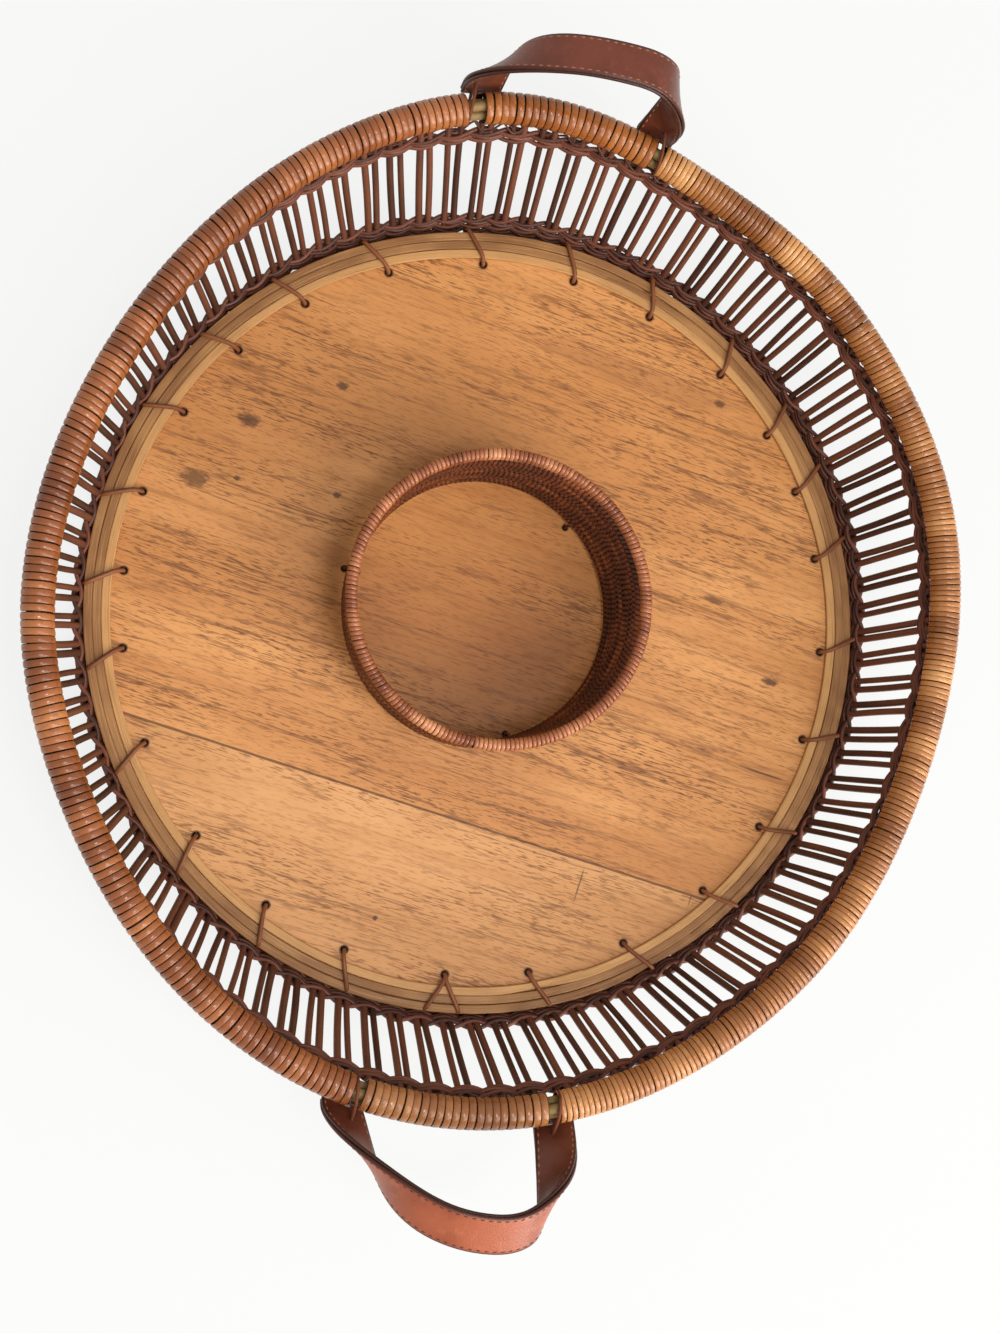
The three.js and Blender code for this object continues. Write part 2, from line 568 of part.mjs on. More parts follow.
// A handle hangs on the rim at two bare gaps and swings about the line through them.
function buildHandle(end, fromAngle, toAngle) {
  const { lean, rise, crown, skew, tilt, splay } = HANDLE_SHAPES[end];
  const gaps = [rimSection(fromAngle), rimSection(toAngle)];
  const hinge = gaps[0].centre.clone().lerp(gaps[1].centre, 0.5);
  const reach = gaps[0].centre.distanceTo(gaps[1].centre) / 2;
  const along = gaps[1].centre.clone().sub(gaps[0].centre).normalize();
  const level = new THREE.Vector3().crossVectors(UP, along);
  const outward = level.clone().multiplyScalar(Math.cos(lean)).addScaledVector(UP, -Math.sin(lean));
  const upward = level.clone().multiplyScalar(Math.sin(lean)).addScaledVector(UP, Math.cos(lean));
  const at = (u, out, up) => {
    const point = hinge.clone().addScaledVector(along, u);
    return point.addScaledVector(outward, out).addScaledVector(upward, up);
  };

  // The rim runs aslant past the strap, so the strap stands off by that slant over half its width.
  const slants = gaps.map((gap) => Math.abs(gap.along.dot(level) / gap.along.dot(along)));
  const rimSlant = Math.max(...slants) * (STRAP_WIDTH / 2);
  const innerFace = WRAP_CREST + rimSlant + 2 * FIT;
  const middle = innerFace + LEATHER_THICKNESS + FIT / 2;
  const outerFace = middle + FIT / 2 + LEATHER_THICKNESS;
  const loop = (ROD_BUNDLE_RADIUS + THONG_DIAMETER / 2 + 2 * FIT) / Math.cos(TAU / 16);

  // One leg from its tab to the crown, on the side of the given sign
  const risingLeg = (side) => {
    const foot = side * (reach + splay);
    const curve = new THREE.CubicBezierCurve(
      new THREE.Vector2(foot, 0),
      new THREE.Vector2(foot, TAB_DROP),
      new THREE.Vector2(skew + side * crown, rise),
      new THREE.Vector2(skew, rise),
    );
    const stations = [{ spot: new THREE.Vector2(foot, -TAB_DROP), heading: new THREE.Vector2(0, 1), share: 0 }];
    for (let i = 0; i <= STRAP_STATIONS; i += 1) {
      const share = i / STRAP_STATIONS;
      stations.push({ spot: curve.getPoint(share), heading: curve.getTangent(share), share });
    }
    return stations;
  };
  const falling = risingLeg(1).slice(0, -1).reverse().map(({ spot, heading, share }) => {
    return { spot, heading: heading.negate(), share };
  });
  const stations = [...risingLeg(-1), ...falling];

  // The strap stands flat against the rim at its ends and turns flat side up at the crown.
  // Both layers start their sections at the face between them, so that the twisted faces match.
  const crownWidth = outward.clone().multiplyScalar(Math.cos(tilt)).addScaledVector(upward, -Math.sin(tilt));
  const ribbon = (glued, open) => loft(stations.map(({ spot, heading, share }) => {
    const turned = THREE.MathUtils.smoothstep(share, TWIST_START, TWIST_END);
    const twist = (TAU / 4) * (1 - turned);
    const inPlane = along.clone().multiplyScalar(heading.y).addScaledVector(upward, -heading.x);
    const width = crownWidth.clone().multiplyScalar(Math.cos(twist)).addScaledVector(inPlane, Math.sin(twist));
    width.normalize();
    const forward = along.clone().multiplyScalar(heading.x).addScaledVector(upward, heading.y);
    const normal = new THREE.Vector3().crossVectors(forward, width).normalize();
    const corners = [[-1, glued], [1, glued], [1, open], [-1, open]];
    return corners.map(([edge, height]) => {
      const corner = at(spot.x, middle, spot.y).addScaledVector(width, edge * STRAP_WIDTH / 2);
      return corner.addScaledVector(normal, height);
    });
  }));
  const drills = [-reach, reach].map((u) => {
    const drill = [at(u, innerFace - LEATHER_THICKNESS, loop), at(u, outerFace + LEATHER_THICKNESS, loop)];
    return tube(drill, THONG_DIAMETER + 4 * FIT, HOLE_SIDES, { facing: along });
  });
  place(`${end}_strap`, cut(ribbon(FIT / 2, FIT / 2 + LEATHER_THICKNESS), drills), MATERIALS.leather);
  place(`${end}_lining`, cut(ribbon(-FIT / 2, -FIT / 2 - LEATHER_THICKNESS), drills), MATERIALS.lining);

  // Each thong goes round the rods in the bare gap, through the strap's hole and under its end.
  const diagonal = loop * Math.SQRT1_2;
  const outside = outerFace + 2 * FIT + THONG_DIAMETER / 2;
  const below = -TAB_DROP - FIT - THONG_DIAMETER / 2;
  const thong = [
    [-loop, 0], [-diagonal, -diagonal], [0, -loop], [middle, below], [outside, below],
    [outside, loop], [middle, loop], [0, loop], [-diagonal, diagonal],
  ];
  for (const [name, u] of [["left", -reach], ["right", reach]]) {
    const route = thong.map(([out, up]) => at(u, out, up));
    const lashing = tube(route, THONG_DIAMETER, THONG_SIDES, { looped: true, facing: along });
    place(`${end}_lashing_${name}`, lashing, MATERIALS.thong);
  }
}

// Cup

// Height of the coil's centre after a number of turns. Each turn lies level and steps up near its end,
// and the first step leaves room for the ties.
function coilHeight(turns) {
  const whole = Math.floor(turns);
  const share = THREE.MathUtils.smoothstep(turns - whole, 1 - CUP_COIL_STEP_SHARE, 1);
  const level = (turn) => (turn === 0 ? 0 : CUP_FIRST_STEP + (turn - 1) * CUP_COIL_PITCH);
  return FIT + CUP_COIL_DIAMETER / 2 + THREE.MathUtils.lerp(level(whole), level(whole + 1), share);
}

function buildCup() {
  // The last turn ends where the turn below it steps up.
  const steps = Math.floor((CUP_COIL_TURNS - CUP_COIL_STEP_SHARE) * CUP_COIL_SEGMENTS);
  const route = Array.from({ length: steps + 1 }, (_, i) => {
    const turns = i / CUP_COIL_SEGMENTS;
    return aroundCup(CUP_RADIUS, CUP_COIL_START + TAU * turns, coilHeight(turns));
  });
  place("cup_coil", tube(route, CUP_COIL_DIAMETER, CUP_COIL_SIDES, { facing: UP }), MATERIALS.cupCoil);
  const gap = leastSelfGap(route, CUP_COIL_DIAMETER, CUP_COIL_SEGMENTS / 2);
  console.log(`cup coil: least self-gap ${gap.toFixed(2)} mm`);

  const rod = Array.from({ length: CUP_RIM_SEGMENTS }, (_, i) => {
    return aroundCup(CUP_RADIUS, CUP_COIL_START + (TAU * i) / CUP_RIM_SEGMENTS, CUP_RIM_HEIGHT);
  });
  const rimRod = tube(rod, CUP_RIM_ROD_DIAMETER, CUP_WRAP_SIDES, { looped: true, facing: UP });
  place("cup_rim_rod", rimRod, MATERIALS.rod);
  const section = (angle) => {
    return { centre: aroundCup(CUP_RADIUS, angle, CUP_RIM_HEIGHT), outward: polar(1, angle, 0) };
  };
  const endGap = FIT / CUP_RADIUS;
  const wrap = woundStrip(section, {
    start: CUP_COIL_START + endGap,
    end: CUP_COIL_START + TAU - endGap,
    turns: Math.round((TAU * CUP_RADIUS) / CUP_WRAP_PITCH),
    sides: CUP_WRAP_SIDES,
    bore: CUP_WRAP_BORE,
    valley: CUP_WRAP_VALLEY,
    crest: CUP_WRAP_CREST,
    boreRings: CUP_RIM_SEGMENTS,
  });
  place("cup_rim_wrap", wrap, MATERIALS.cupWrap);

  TIE_ANGLES.forEach((angle, i) => {
    const facing = polar(1, angle + TAU / 4, 0);
    const tie = tube(tieRoute(angle).route, TIE_DIAMETER, TIE_SIDES, { looped: true, facing });
    place(`cup_tie_${i + 1}`, tie, MATERIALS.thong);
  });
}

buildBoard();
buildLacing();
buildGallery();
buildWeavers();
buildRim();
buildHandle("back", TAU / 2 - HANDLE_GAP_ANGLE, HANDLE_GAP_ANGLE);
buildHandle("front", -HANDLE_GAP_ANGLE, HANDLE_GAP_ANGLE - TAU / 2);
buildCup();
tray.position.z = -FOOT_BOTTOM;

export default tray;
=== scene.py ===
import math
import random

import bpy
from mathutils import Matrix, Vector
from mathutils.geometry import delaunay_2d_cdt


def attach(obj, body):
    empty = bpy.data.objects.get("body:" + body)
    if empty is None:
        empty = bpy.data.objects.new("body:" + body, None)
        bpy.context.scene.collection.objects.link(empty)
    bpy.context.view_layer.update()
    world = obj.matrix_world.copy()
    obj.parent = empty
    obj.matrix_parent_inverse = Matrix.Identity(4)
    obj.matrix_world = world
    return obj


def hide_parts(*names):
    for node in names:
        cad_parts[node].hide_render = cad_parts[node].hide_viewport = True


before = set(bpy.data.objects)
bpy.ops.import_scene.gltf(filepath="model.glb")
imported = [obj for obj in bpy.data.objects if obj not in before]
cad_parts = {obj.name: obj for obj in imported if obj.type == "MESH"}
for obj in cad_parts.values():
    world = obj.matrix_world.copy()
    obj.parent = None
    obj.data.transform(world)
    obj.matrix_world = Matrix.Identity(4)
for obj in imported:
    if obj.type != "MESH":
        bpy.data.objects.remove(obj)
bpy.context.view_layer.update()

# Looks of a rattan serving tray: a veneered board laced into an openwork gallery, a rim wound with cane,
# two stitched leather handles and a coiled cup in the middle. Metres, +Z up, standing on z = 0.

MM = 0.001
TAU = 2 * math.pi
UP = Vector((0, 0, 1))
DEGREE = math.radians(1)

# Board of a plywood core under two veneer leaves, with a ring of lacing holes drilled by hand
BOARD_TOP = 8 * MM
BOARD_RADIUS = 180 * MM
BOARD_SIDES = 180
LEAF_STEPS = 120
CORE_THICKNESS = 3.7 * MM
PLY_PITCH = 2.4 * MM
LEAF_THICKNESS = 0.8 * MM
SEAM_OFFSET = 94 * MM
SEAM_GAP = 0.3 * MM
SEAM_ANGLE = -11.2 * DEGREE
HOLE_CIRCLE = 166 * MM
HOLE_RADIUS = 1.7 * MM
HOLE_DEGREES = [
    1.6, 17.3, 29, 39.6, 52.4, 67.7, 81.7, 97, 112.7, 127.3, 140.5, 153.7, 167.8,
    180.5, 192.5, 207.5, 223.9, 239.2, 253.4, 270, 283.6, 300, 315.9, 330.2, 346.6,
]
HOLE_SIDES = 16
# How much the wood is darkened round a hole, at these shares of a hole's radius from its middle
HOLE_DARKENING = [(1.0, 1.0), (1.3, 0.6), (1.75, 0.0)]
LEAF_UNDERSIDE = BOARD_TOP - LEAF_THICKNESS
BOARD_UNDERSIDE = LEAF_UNDERSIDE - CORE_THICKNESS

# Hoop of three flat cane strips on the board's edge
HOOP_STRIPS = ["inner", "middle", "outer"]
HOOP_JOINT_DEGREES = [288, 72, 306]
HOOP_CENTRE = Vector((-0.9 * MM, -1.2 * MM, 0))
HOOP_STRIP_WIDTH = 4.05 * MM
HOOP_STRIP_HEIGHT = 2.2 * MM
HOOP_STRIP_STEP = 4 * MM
HOOP_INNER_RADIUS = 169.6 * MM
HOOP_LIFT = 0.2 * MM
HOOP_LAP = 9 * DEGREE
HOOP_FLAT_SHARE = 0.86
HOOP_GROOVE = 0.3 * MM
HOOP_SEED = 40
HOOP_WAVE = 0.12 * MM
# The ends of a strip are shaved by a share of its size, and the later one springs up and inwards.
HOOP_END_SHAVE = 0.55
HOOP_END_RISE = 1.3 * MM
HOOP_END_SHIFT = 1.5 * MM
HOOP_SPRING_LAPS = 1.6

# Lacing strand that sews the hoop down, aslant over it from each hole and twice from one of them
LACING_RADIUS = 1 * MM
LACING_SLANT = 2.5 * DEGREE
DOUBLED_LACING_DEGREE = 270

# Gallery of paired stakes between a foot ring and the rim
PANELS = 16
PAIRS_PER_PANEL = 6
PAIR_COUNT = PANELS * PAIRS_PER_PANEL
PAIR_PITCH = TAU / PAIR_COUNT
STAKE_RADIUS = 1.6 * MM
STAKE_RADIUS_SHARES = (0.88, 1.1)
STAKE_SEED = 7
STAKE_LEAN = 1.2 * DEGREE
# Most that a stake bows outwards or inwards, and to either side as an angle in radians
STAKE_BOW = 0.5 * MM
STAKE_SWAY = 0.0025
STAKE_LOW_END = 5 * MM
STAKE_HEAD_DROP = 6.5 * MM
# Least and most distance of a stake from the middle of its pair, at the foot and at the head
STAKE_FOOT_OFFSETS = (1.6 * MM, 2.4 * MM)
STAKE_HEAD_OFFSETS = (1.4 * MM, 3 * MM)
FOOT_RADIUS = 184.4 * MM
WALL_RADIUS = 182.8 * MM
FOOT_MIDDLE = 1.3 * MM
# The folded foot of a stake runs along the border in one of three layers, through angles in radians.
FOOT_LAYERS = (-1.2 * MM, 0.0, 1.2 * MM)
FOOT_FOLD = 0.004
FOOT_FOLD_HEIGHT = 2.4 * MM
FOOT_RUNS = (0.014, 0.035, 0.056, 0.072)
FOOT_RUN_HEIGHT = 1.15 * STAKE_RADIUS

# Twined rows of the gallery: height above the board of each course, and the way it is twisted
WEAVER_ROWS = {
    "low": [(2.3 * MM, 1), (0.3 * MM, -1), (-1.7 * MM, 1), (-3.5 * MM, -1)],
    "high": [(44.2 * MM, 1), (45.6 * MM, -1)],
    "top": [(47 * MM, 1)],
}
WEAVER_SEEDS = {"low": 3, "high": 4, "top": 3}
WEAVER_RADIUS = 1 * MM
TWINE_REACH = 1.7 * MM
TWINE_RISE = 0.45 * MM
TWINE_WAVE = 0.22 * MM
# Thin strand that laces the gap under the rim: heights of its upper and lower loops, and how they stray
LACE_SEED = 20
LACE_RADIUS = 0.5 * MM
LACE_HEIGHTS = (52.5 * MM, 48 * MM)
LACE_STRAY = 0.9 * MM
LACE_SPACING_STRAY = 0.25
LACE_DEPTHS = (-2 * MM, 1.2 * MM)

# Rim: an oval bent by hand, three rods under a wound strip
RIM_Z = BOARD_TOP + 58 * MM
RIM_HALF_WIDTH = 198.5 * MM
RIM_DRAWN_OUT = 19.5 * MM
RIM_POINT_POWER = 3
# Bends left by the hand: angle, push outwards and spread along the rim
RIM_BENDS = [
    (21 * DEGREE, 6.4 * MM, 22 * DEGREE),
    (70.5 * DEGREE, -5.5 * MM, 14 * DEGREE),
    (99 * DEGREE, 2.6 * MM, 13 * DEGREE),
    (145 * DEGREE, -3.3 * MM, 29 * DEGREE),
    (191 * DEGREE, 1.8 * MM, 15 * DEGREE),
    (322 * DEGREE, 1.7 * MM, 14 * DEGREE),
]
ROD_RADIUS = 2.3 * MM
ROD_OFFSET = 2.83 * MM
ROD_STEPS = 240
WRAP_PITCHES = {"right": 2.5 * MM, "back": 3.4 * MM, "left": 3.2 * MM, "front": 3.5 * MM}
WRAP_RADIUS = 6.6 * MM
WRAP_THICKNESS = 0.9 * MM
# The strip is a little wider than the pitch of its turns.
WRAP_COVER = 1.02
BARE_GAP = 5 * MM
WIDE_BARE_GAP = 8 * MM
HANDLE_GAP_ANGLE = 78.75 * DEGREE

# Handles: a strap and a lining, tied through the bare gaps of the rim
STRAP_WIDTH = 18 * MM
LEATHER_THICKNESS = 1.5 * MM
LEATHER_GAP = 0.3 * MM
LEATHER_HALF_GAP = LEATHER_GAP / 2
LEATHER_EDGE_ROUND = 0.35 * MM
TAB_DROP = 2.5 * MM
TAB_STEPS = 2
LEG_STEPS = 40
# The strap turns from the stance of its tabs to that of its crown between these shares of a leg.
TWIST_START = 0.04
TWIST_END = 0.8
# How each arch leans and rises, how far its crown lies to one side and how far it is tilted
HANDLE_SHAPES = {
    "back": (7.4 * DEGREE, 48.9 * MM, 17.9 * MM, 1.7 * DEGREE),
    "front": (44.1 * DEGREE, 56.7 * MM, -14.1 * MM, -20.4 * DEGREE),
}
# How far the strap's middle stands off the rim's, and how much of the rim's slant its tabs follow
HANDLE_FEET = {"back": (10.9 * MM, 0.6), "front": (10.4 * MM, 0.5)}
# For both legs of an arch: how far it stands outside its bare gap, how far it first runs straight up and
# how far the crown reaches towards it
HANDLE_LEGS = {
    "back": {-1: (-2.1 * MM, 12.2 * MM, 56.1 * MM), 1: (-1.1 * MM, 1 * MM, 32.1 * MM)},
    "front": {-1: (2.7 * MM, 18 * MM, 32.2 * MM), 1: (5.6 * MM, 1 * MM, 46.7 * MM)},
}
THONG_RADIUS = 0.75 * MM
# The thongs are tied a little outside the middles of the bare gaps.
THONG_SPREAD = 1.4 * MM
THONG_SLACK = 0.6 * MM
THONG_FIT = 0.3 * MM
# The stitches run in a row near each edge of a strap, at this share of its half width.
STITCH_EDGE = 0.82
STITCH_SPACING = 3.4 * MM
STITCH_LENGTH = 2.3 * MM
STITCH_SINK = 0.2 * MM
THREAD_RADIUS = 0.42 * MM

# Cup of one bound coil that flares and leans a little under a bound oval rim
CUP_CENTRE = Vector((-2.6 * MM, 3.7 * MM, 0))
CUP_BASE_SHIFT = Vector((-1.9 * MM, -1.9 * MM, 0))
CUP_BASE_RADIUS = 61.6 * MM
CUP_RIM_HALF_LENGTH = 66.6 * MM
CUP_RIM_HALF_WIDTH = 64.4 * MM
CUP_COIL_RADIUS = 2 * MM
CUP_COIL_TURNS = 11
CUP_COIL_START = -94 * DEGREE
CUP_FIT = 0.3 * MM
CUP_RIM_HEIGHT = 44.9 * MM
CUP_RIM_ROD_RADIUS = 1.8 * MM
CUP_RIM_CREST = 2.8 * MM
TIE_DEGREES = [-70, 50, 170]
TIE_RADIUS = 0.7 * MM
TIE_REACH = CUP_COIL_RADIUS + TIE_RADIUS + CUP_FIT
TIE_HOLE_RADIUS = 1.3 * MM
TIE_CORNER = 1 * MM
# Strips wound on the coil of the cup's wall and on its rim
COIL_STRIP_TURNS = 1850
COIL_STRIP_WINDING = 1.75 * MM
COIL_STRIP_WIDTH = 2.5 * MM
COIL_STRIP_THICKNESS = 0.7 * MM
CUP_BINDING_TURNS = 205
CUP_BINDING_WINDING = 2.35 * MM
CUP_BINDING_WIDTH = 2.1 * MM
CUP_BINDING_THICKNESS = 0.9 * MM
CUP_BINDING_GAP = 0.005
# Painted shade on the floor inside the cup, up to its wall and deepest round a place beside its middle.
CUP_SHADE_EDGE = 3 * MM
CUP_SHADOW_SHIFT = Vector((24 * MM, -34 * MM, 0))
CUP_SHADOW_CORE = 10 * MM
CUP_SHADOW_RADIUS = 62 * MM

# Places on the lines of the tray


def polar(radius, angle, z):
    return Vector((radius * math.cos(angle), radius * math.sin(angle), z))


def around_cup(angle, height, push=0):
    """A point on the cup's wall at a height above the board, pushed out from the wall's middle."""
    share = height / CUP_RIM_HEIGHT
    base = polar(CUP_BASE_RADIUS + push, angle, 0) + CUP_BASE_SHIFT
    length, width = CUP_RIM_HALF_LENGTH + push, CUP_RIM_HALF_WIDTH + push
    rim = Vector((length * math.cos(angle), width * math.sin(angle), 0))
    return base.lerp(rim, share) + CUP_CENTRE + UP * (BOARD_TOP + height)


def rim_point(angle):
    radius = RIM_HALF_WIDTH + RIM_DRAWN_OUT * abs(math.sin(angle)) ** RIM_POINT_POWER
    for place, out, spread in RIM_BENDS:
        away = math.remainder(angle - place, TAU)
        radius += out * math.exp(-((away / spread) ** 2))
    return polar(radius, angle, RIM_Z)


def rim_section(angle):
    """The rim's centre at an angle, with its level outward direction and the direction along it."""
    nudge = 1e-3
    along = (rim_point(angle + nudge) - rim_point(angle - nudge)).normalized()
    return rim_point(angle), Vector((along.y, -along.x, 0)), along


def gallery_point(angle, z):
    """The point at a height on the line of a stake whose head meets the rim at this angle."""
    foot = polar(WALL_RADIUS, angle - STAKE_LEAN, FOOT_MIDDLE)
    return foot.lerp(rim_point(angle), (z - FOOT_MIDDLE) / (RIM_Z - FOOT_MIDDLE))


def pushed_out(point, push):
    return point + Vector((point.x, point.y, 0)).normalized() * push


def smoothstep(value, low, high):
    share = min(max((value - low) / (high - low), 0), 1)
    return share * share * (3 - 2 * share)


def along_grain(x, y):
    """A spot on the board measured along and across the grain."""
    cosine, sine = math.cos(SEAM_ANGLE), math.sin(SEAM_ANGLE)
    return x * cosine + y * sine, y * cosine - x * sine


def smooth_line(points, steps, looped=False):
    """A line through the points that bends evenly at each of them."""
    count = len(points)
    spans = count if looped else count - 1
    line = []
    for i in range(spans):
        if looped:
            before, start, end, after = (points[(i + k) % count] for k in (-1, 0, 1, 2))
        else:
            before, start = points[max(i - 1, 0)], points[i]
            end, after = points[i + 1], points[min(i + 2, count - 1)]
        for step in range(steps):
            t = step / steps
            bend = (end - before) * t + (2 * before - 5 * start + 4 * end - after) * t ** 2
            bend += (3 * start - before - 3 * end + after) * t ** 3
            line.append(start + bend * 0.5)
    if not looped:
        line.append(points[-1].copy())
    return line


# Nodes


def add_node(tree, kind, inputs=(), **settings):
    """A node with its settings, whose inputs are values or the outputs of other nodes."""
    node = tree.nodes.new(kind)
    for name, value in settings.items():
        setattr(node, name, value)
    for key, value in dict(inputs).items():
        if isinstance(value, bpy.types.NodeSocket):
            tree.links.new(value, node.inputs[key])
        else:
            node.inputs[key].default_value = value
    return node


def maths(tree, operation, *values):
    return add_node(tree, "ShaderNodeMath", enumerate(values), operation=operation).outputs[0]


def vectors(tree, operation, *values):
    return add_node(tree, "ShaderNodeVectorMath", enumerate(values), operation=operation).outputs[0]


def distance(tree, first, second):
    inputs = {0: first, 1: second}
    return add_node(tree, "ShaderNodeVectorMath", inputs, operation="DISTANCE").outputs["Value"]


def scaled(tree, vector, size):
    inputs = {"Vector": vector, "Scale": size}
    return add_node(tree, "ShaderNodeVectorMath", inputs, operation="SCALE").outputs[0]


def ranged(tree, value, low, high, start=0.0, end=1.0):
    """A value eased from one range into another."""
    inputs = {"Value": value, "From Min": low, "From Max": high, "To Min": start, "To Max": end}
    return add_node(tree, "ShaderNodeMapRange", inputs, interpolation_type="SMOOTHSTEP").outputs[0]


def mixed(tree, share, first, second, blend="MIX"):
    inputs = {0: share, 6: first, 7: second}
    return add_node(tree, "ShaderNodeMix", inputs, data_type="RGBA", blend_type=blend).outputs[2]


def combined(tree, x, y, z):
    return add_node(tree, "ShaderNodeCombineXYZ", {0: x, 1: y, 2: z}).outputs[0]


def noise(tree, spot, scale, detail):
    inputs = {"Vector": spot, "Scale": scale, "Detail": detail}
    return add_node(tree, "ShaderNodeTexNoise", inputs).outputs[0]


def noise_along(tree, place, scale, detail, roughness=0.5):
    """Noise that changes with one value only."""
    inputs = {"W": place, "Scale": scale, "Detail": detail, "Roughness": roughness}
    return add_node(tree, "ShaderNodeTexNoise", inputs, noise_dimensions="1D").outputs[0]


def spot_on_piece(tree):
    return add_node(tree, "ShaderNodeTexCoord").outputs["Object"]


# Geometry trees


def geometry_tree(name, sizes):
    """An empty geometry tree with named inputs, and the outputs of its input node."""
    tree = bpy.data.node_groups.new(name, "GeometryNodeTree")
    tree.interface.new_socket("Geometry", in_out="INPUT", socket_type="NodeSocketGeometry")
    for size, kind in sizes.items():
        tree.interface.new_socket(size, in_out="INPUT", socket_type="NodeSocket" + kind)
    tree.interface.new_socket("Geometry", in_out="OUTPUT", socket_type="NodeSocketGeometry")
    return tree, tree.nodes.new("NodeGroupInput").outputs


def end_tree(tree, mesh, material):
    smooth = add_node(tree, "GeometryNodeSetShadeSmooth", {"Geometry": mesh})
    real = add_node(tree, "GeometryNodeRealizeInstances", {"Geometry": smooth.outputs[0]})
    finished = add_node(tree, "GeometryNodeSetMaterial", {"Geometry": real.outputs[0], "Material": material})
    add_node(tree, "NodeGroupOutput", {"Geometry": finished.outputs[0]})


def stored(tree, geometry, name, value):
    inputs = {"Geometry": geometry, "Name": name, "Value": value}
    return add_node(tree, "GeometryNodeStoreNamedAttribute", inputs, data_type="FLOAT").outputs[0]


def wound_strip_tree():
    """A strip of cane wound round a line as one unbroken helix."""
    sizes = {
        "Turns": "Int", "Steps per Turn": "Int", "Section Points": "Int", "Winding Radius": "Float",
        "Strip Width": "Float", "Strip Thickness": "Float", "Slant": "Float", "Unevenness": "Float",
        "Seed": "Float", "Material": "Material",
    }
    tree, given = geometry_tree("wound strip", sizes)
    line = add_node(tree, "GeometryNodeMeshToCurve", {"Mesh": given["Geometry"]}).outputs[0]
    steps = maths(tree, "MULTIPLY", given["Turns"], given["Steps per Turn"])
    row = add_node(tree, "GeometryNodeMeshLine", {"Count": maths(tree, "ADD", steps, 1)}).outputs[0]
    strip = add_node(tree, "GeometryNodeMeshToCurve", {"Mesh": row}).outputs[0]

    index = add_node(tree, "GeometryNodeInputIndex").outputs[0]
    turn = maths(tree, "DIVIDE", index, given["Steps per Turn"])
    phase = maths(tree, "MULTIPLY", turn, TAU)
    # The turns stray a little from one to the next, and their slant swells over many turns.
    started = maths(tree, "ADD", turn, given["Seed"])
    jumps = noise_along(tree, started, 0.45, 1.0)
    swells = noise_along(tree, started, 0.06, 1.0)
    strayed = maths(tree, "MULTIPLY", maths(tree, "SUBTRACT", jumps, 0.5), given["Unevenness"])
    tilt = maths(tree, "MULTIPLY", maths(tree, "SUBTRACT", swells, 0.35), given["Slant"])
    tilted = maths(tree, "MULTIPLY", tilt, maths(tree, "COSINE", phase))
    place = maths(tree, "ADD", turn, maths(tree, "ADD", strayed, tilted))
    share = maths(tree, "DIVIDE", place, given["Turns"])
    sample_inputs = {"Curves": line, "Factor": share}
    sample = add_node(tree, "GeometryNodeSampleCurve", sample_inputs, mode="FACTOR").outputs
    outward = vectors(tree, "NORMALIZE", vectors(tree, "CROSS_PRODUCT", sample["Tangent"], UP))
    level = scaled(tree, outward, maths(tree, "COSINE", phase))
    raised = scaled(tree, UP, maths(tree, "SINE", phase))
    ray = vectors(tree, "ADD", level, raised)
    spot = vectors(tree, "ADD", sample["Position"], scaled(tree, ray, given["Winding Radius"]))

    strip = add_node(tree, "GeometryNodeSetPosition", {"Geometry": strip, "Position": spot}).outputs[0]
    facing = add_node(tree, "GeometryNodeSetCurveNormal", {"Curve": strip, "Normal": ray}, mode="FREE")
    strip = stored(tree, facing.outputs[0], "turn", turn)

    circle = {"Resolution": given["Section Points"], "Radius": 1.0}
    section = add_node(tree, "GeometryNodeCurvePrimitiveCircle", circle).outputs[0]
    round_share = add_node(tree, "GeometryNodeSplineParameter").outputs["Factor"]
    crown = maths(tree, "COSINE", maths(tree, "MULTIPLY", round_share, TAU))
    section = stored(tree, section, "crown", crown)
    half_thickness = maths(tree, "MULTIPLY", given["Strip Thickness"], 0.5)
    half_width = maths(tree, "MULTIPLY", given["Strip Width"], 0.5)
    flat = combined(tree, half_thickness, half_width, 1.0)
    section = add_node(tree, "GeometryNodeTransform", {"Geometry": section, "Scale": flat}).outputs[0]
    swept = {"Curve": strip, "Profile Curve": section, "Fill Caps": True}
    mesh = add_node(tree, "GeometryNodeCurveToMesh", swept).outputs[0]
    end_tree(tree, mesh, given["Material"])
    return tree


def strand_tree(name, normal_mode):
    """Strands of a given section swept along lines, each point with its own thickness."""
    tree, given = geometry_tree(name, {"Section": "Object", "Seed": "Int", "Material": "Material"})
    line = add_node(tree, "GeometryNodeMeshToCurve", {"Mesh": given["Geometry"]}).outputs[0]
    line = add_node(tree, "GeometryNodeSetCurveNormal", {"Curve": line}, mode=normal_mode).outputs[0]
    along = add_node(tree, "GeometryNodeSplineParameter").outputs["Length"]
    line = stored(tree, line, "along", along)
    which = add_node(tree, "GeometryNodeCurveOfPoint").outputs["Curve Index"]
    lot = {"ID": which, "Seed": given["Seed"]}
    draw = add_node(tree, "FunctionNodeRandomValue", lot, data_type="FLOAT")
    drawn = next(socket for socket in draw.outputs if socket.type == "VALUE" and socket.enabled)
    line = stored(tree, line, "strand", drawn)
    shape = {"Object": given["Section"]}
    outline = add_node(tree, "GeometryNodeObjectInfo", shape).outputs["Geometry"]
    section = add_node(tree, "GeometryNodeMeshToCurve", {"Mesh": outline}).outputs[0]
    round_share = add_node(tree, "GeometryNodeSplineParameter").outputs["Factor"]
    section = stored(tree, section, "side", round_share)
    thickness = add_node(tree, "GeometryNodeInputNamedAttribute", {"Name": "thickness"}, data_type="FLOAT")
    swept = {"Curve": line, "Profile Curve": section, "Scale": thickness.outputs[0], "Fill Caps": True}
    mesh = add_node(tree, "GeometryNodeCurveToMesh", swept).outputs[0]
    end_tree(tree, mesh, given["Material"])
    return tree


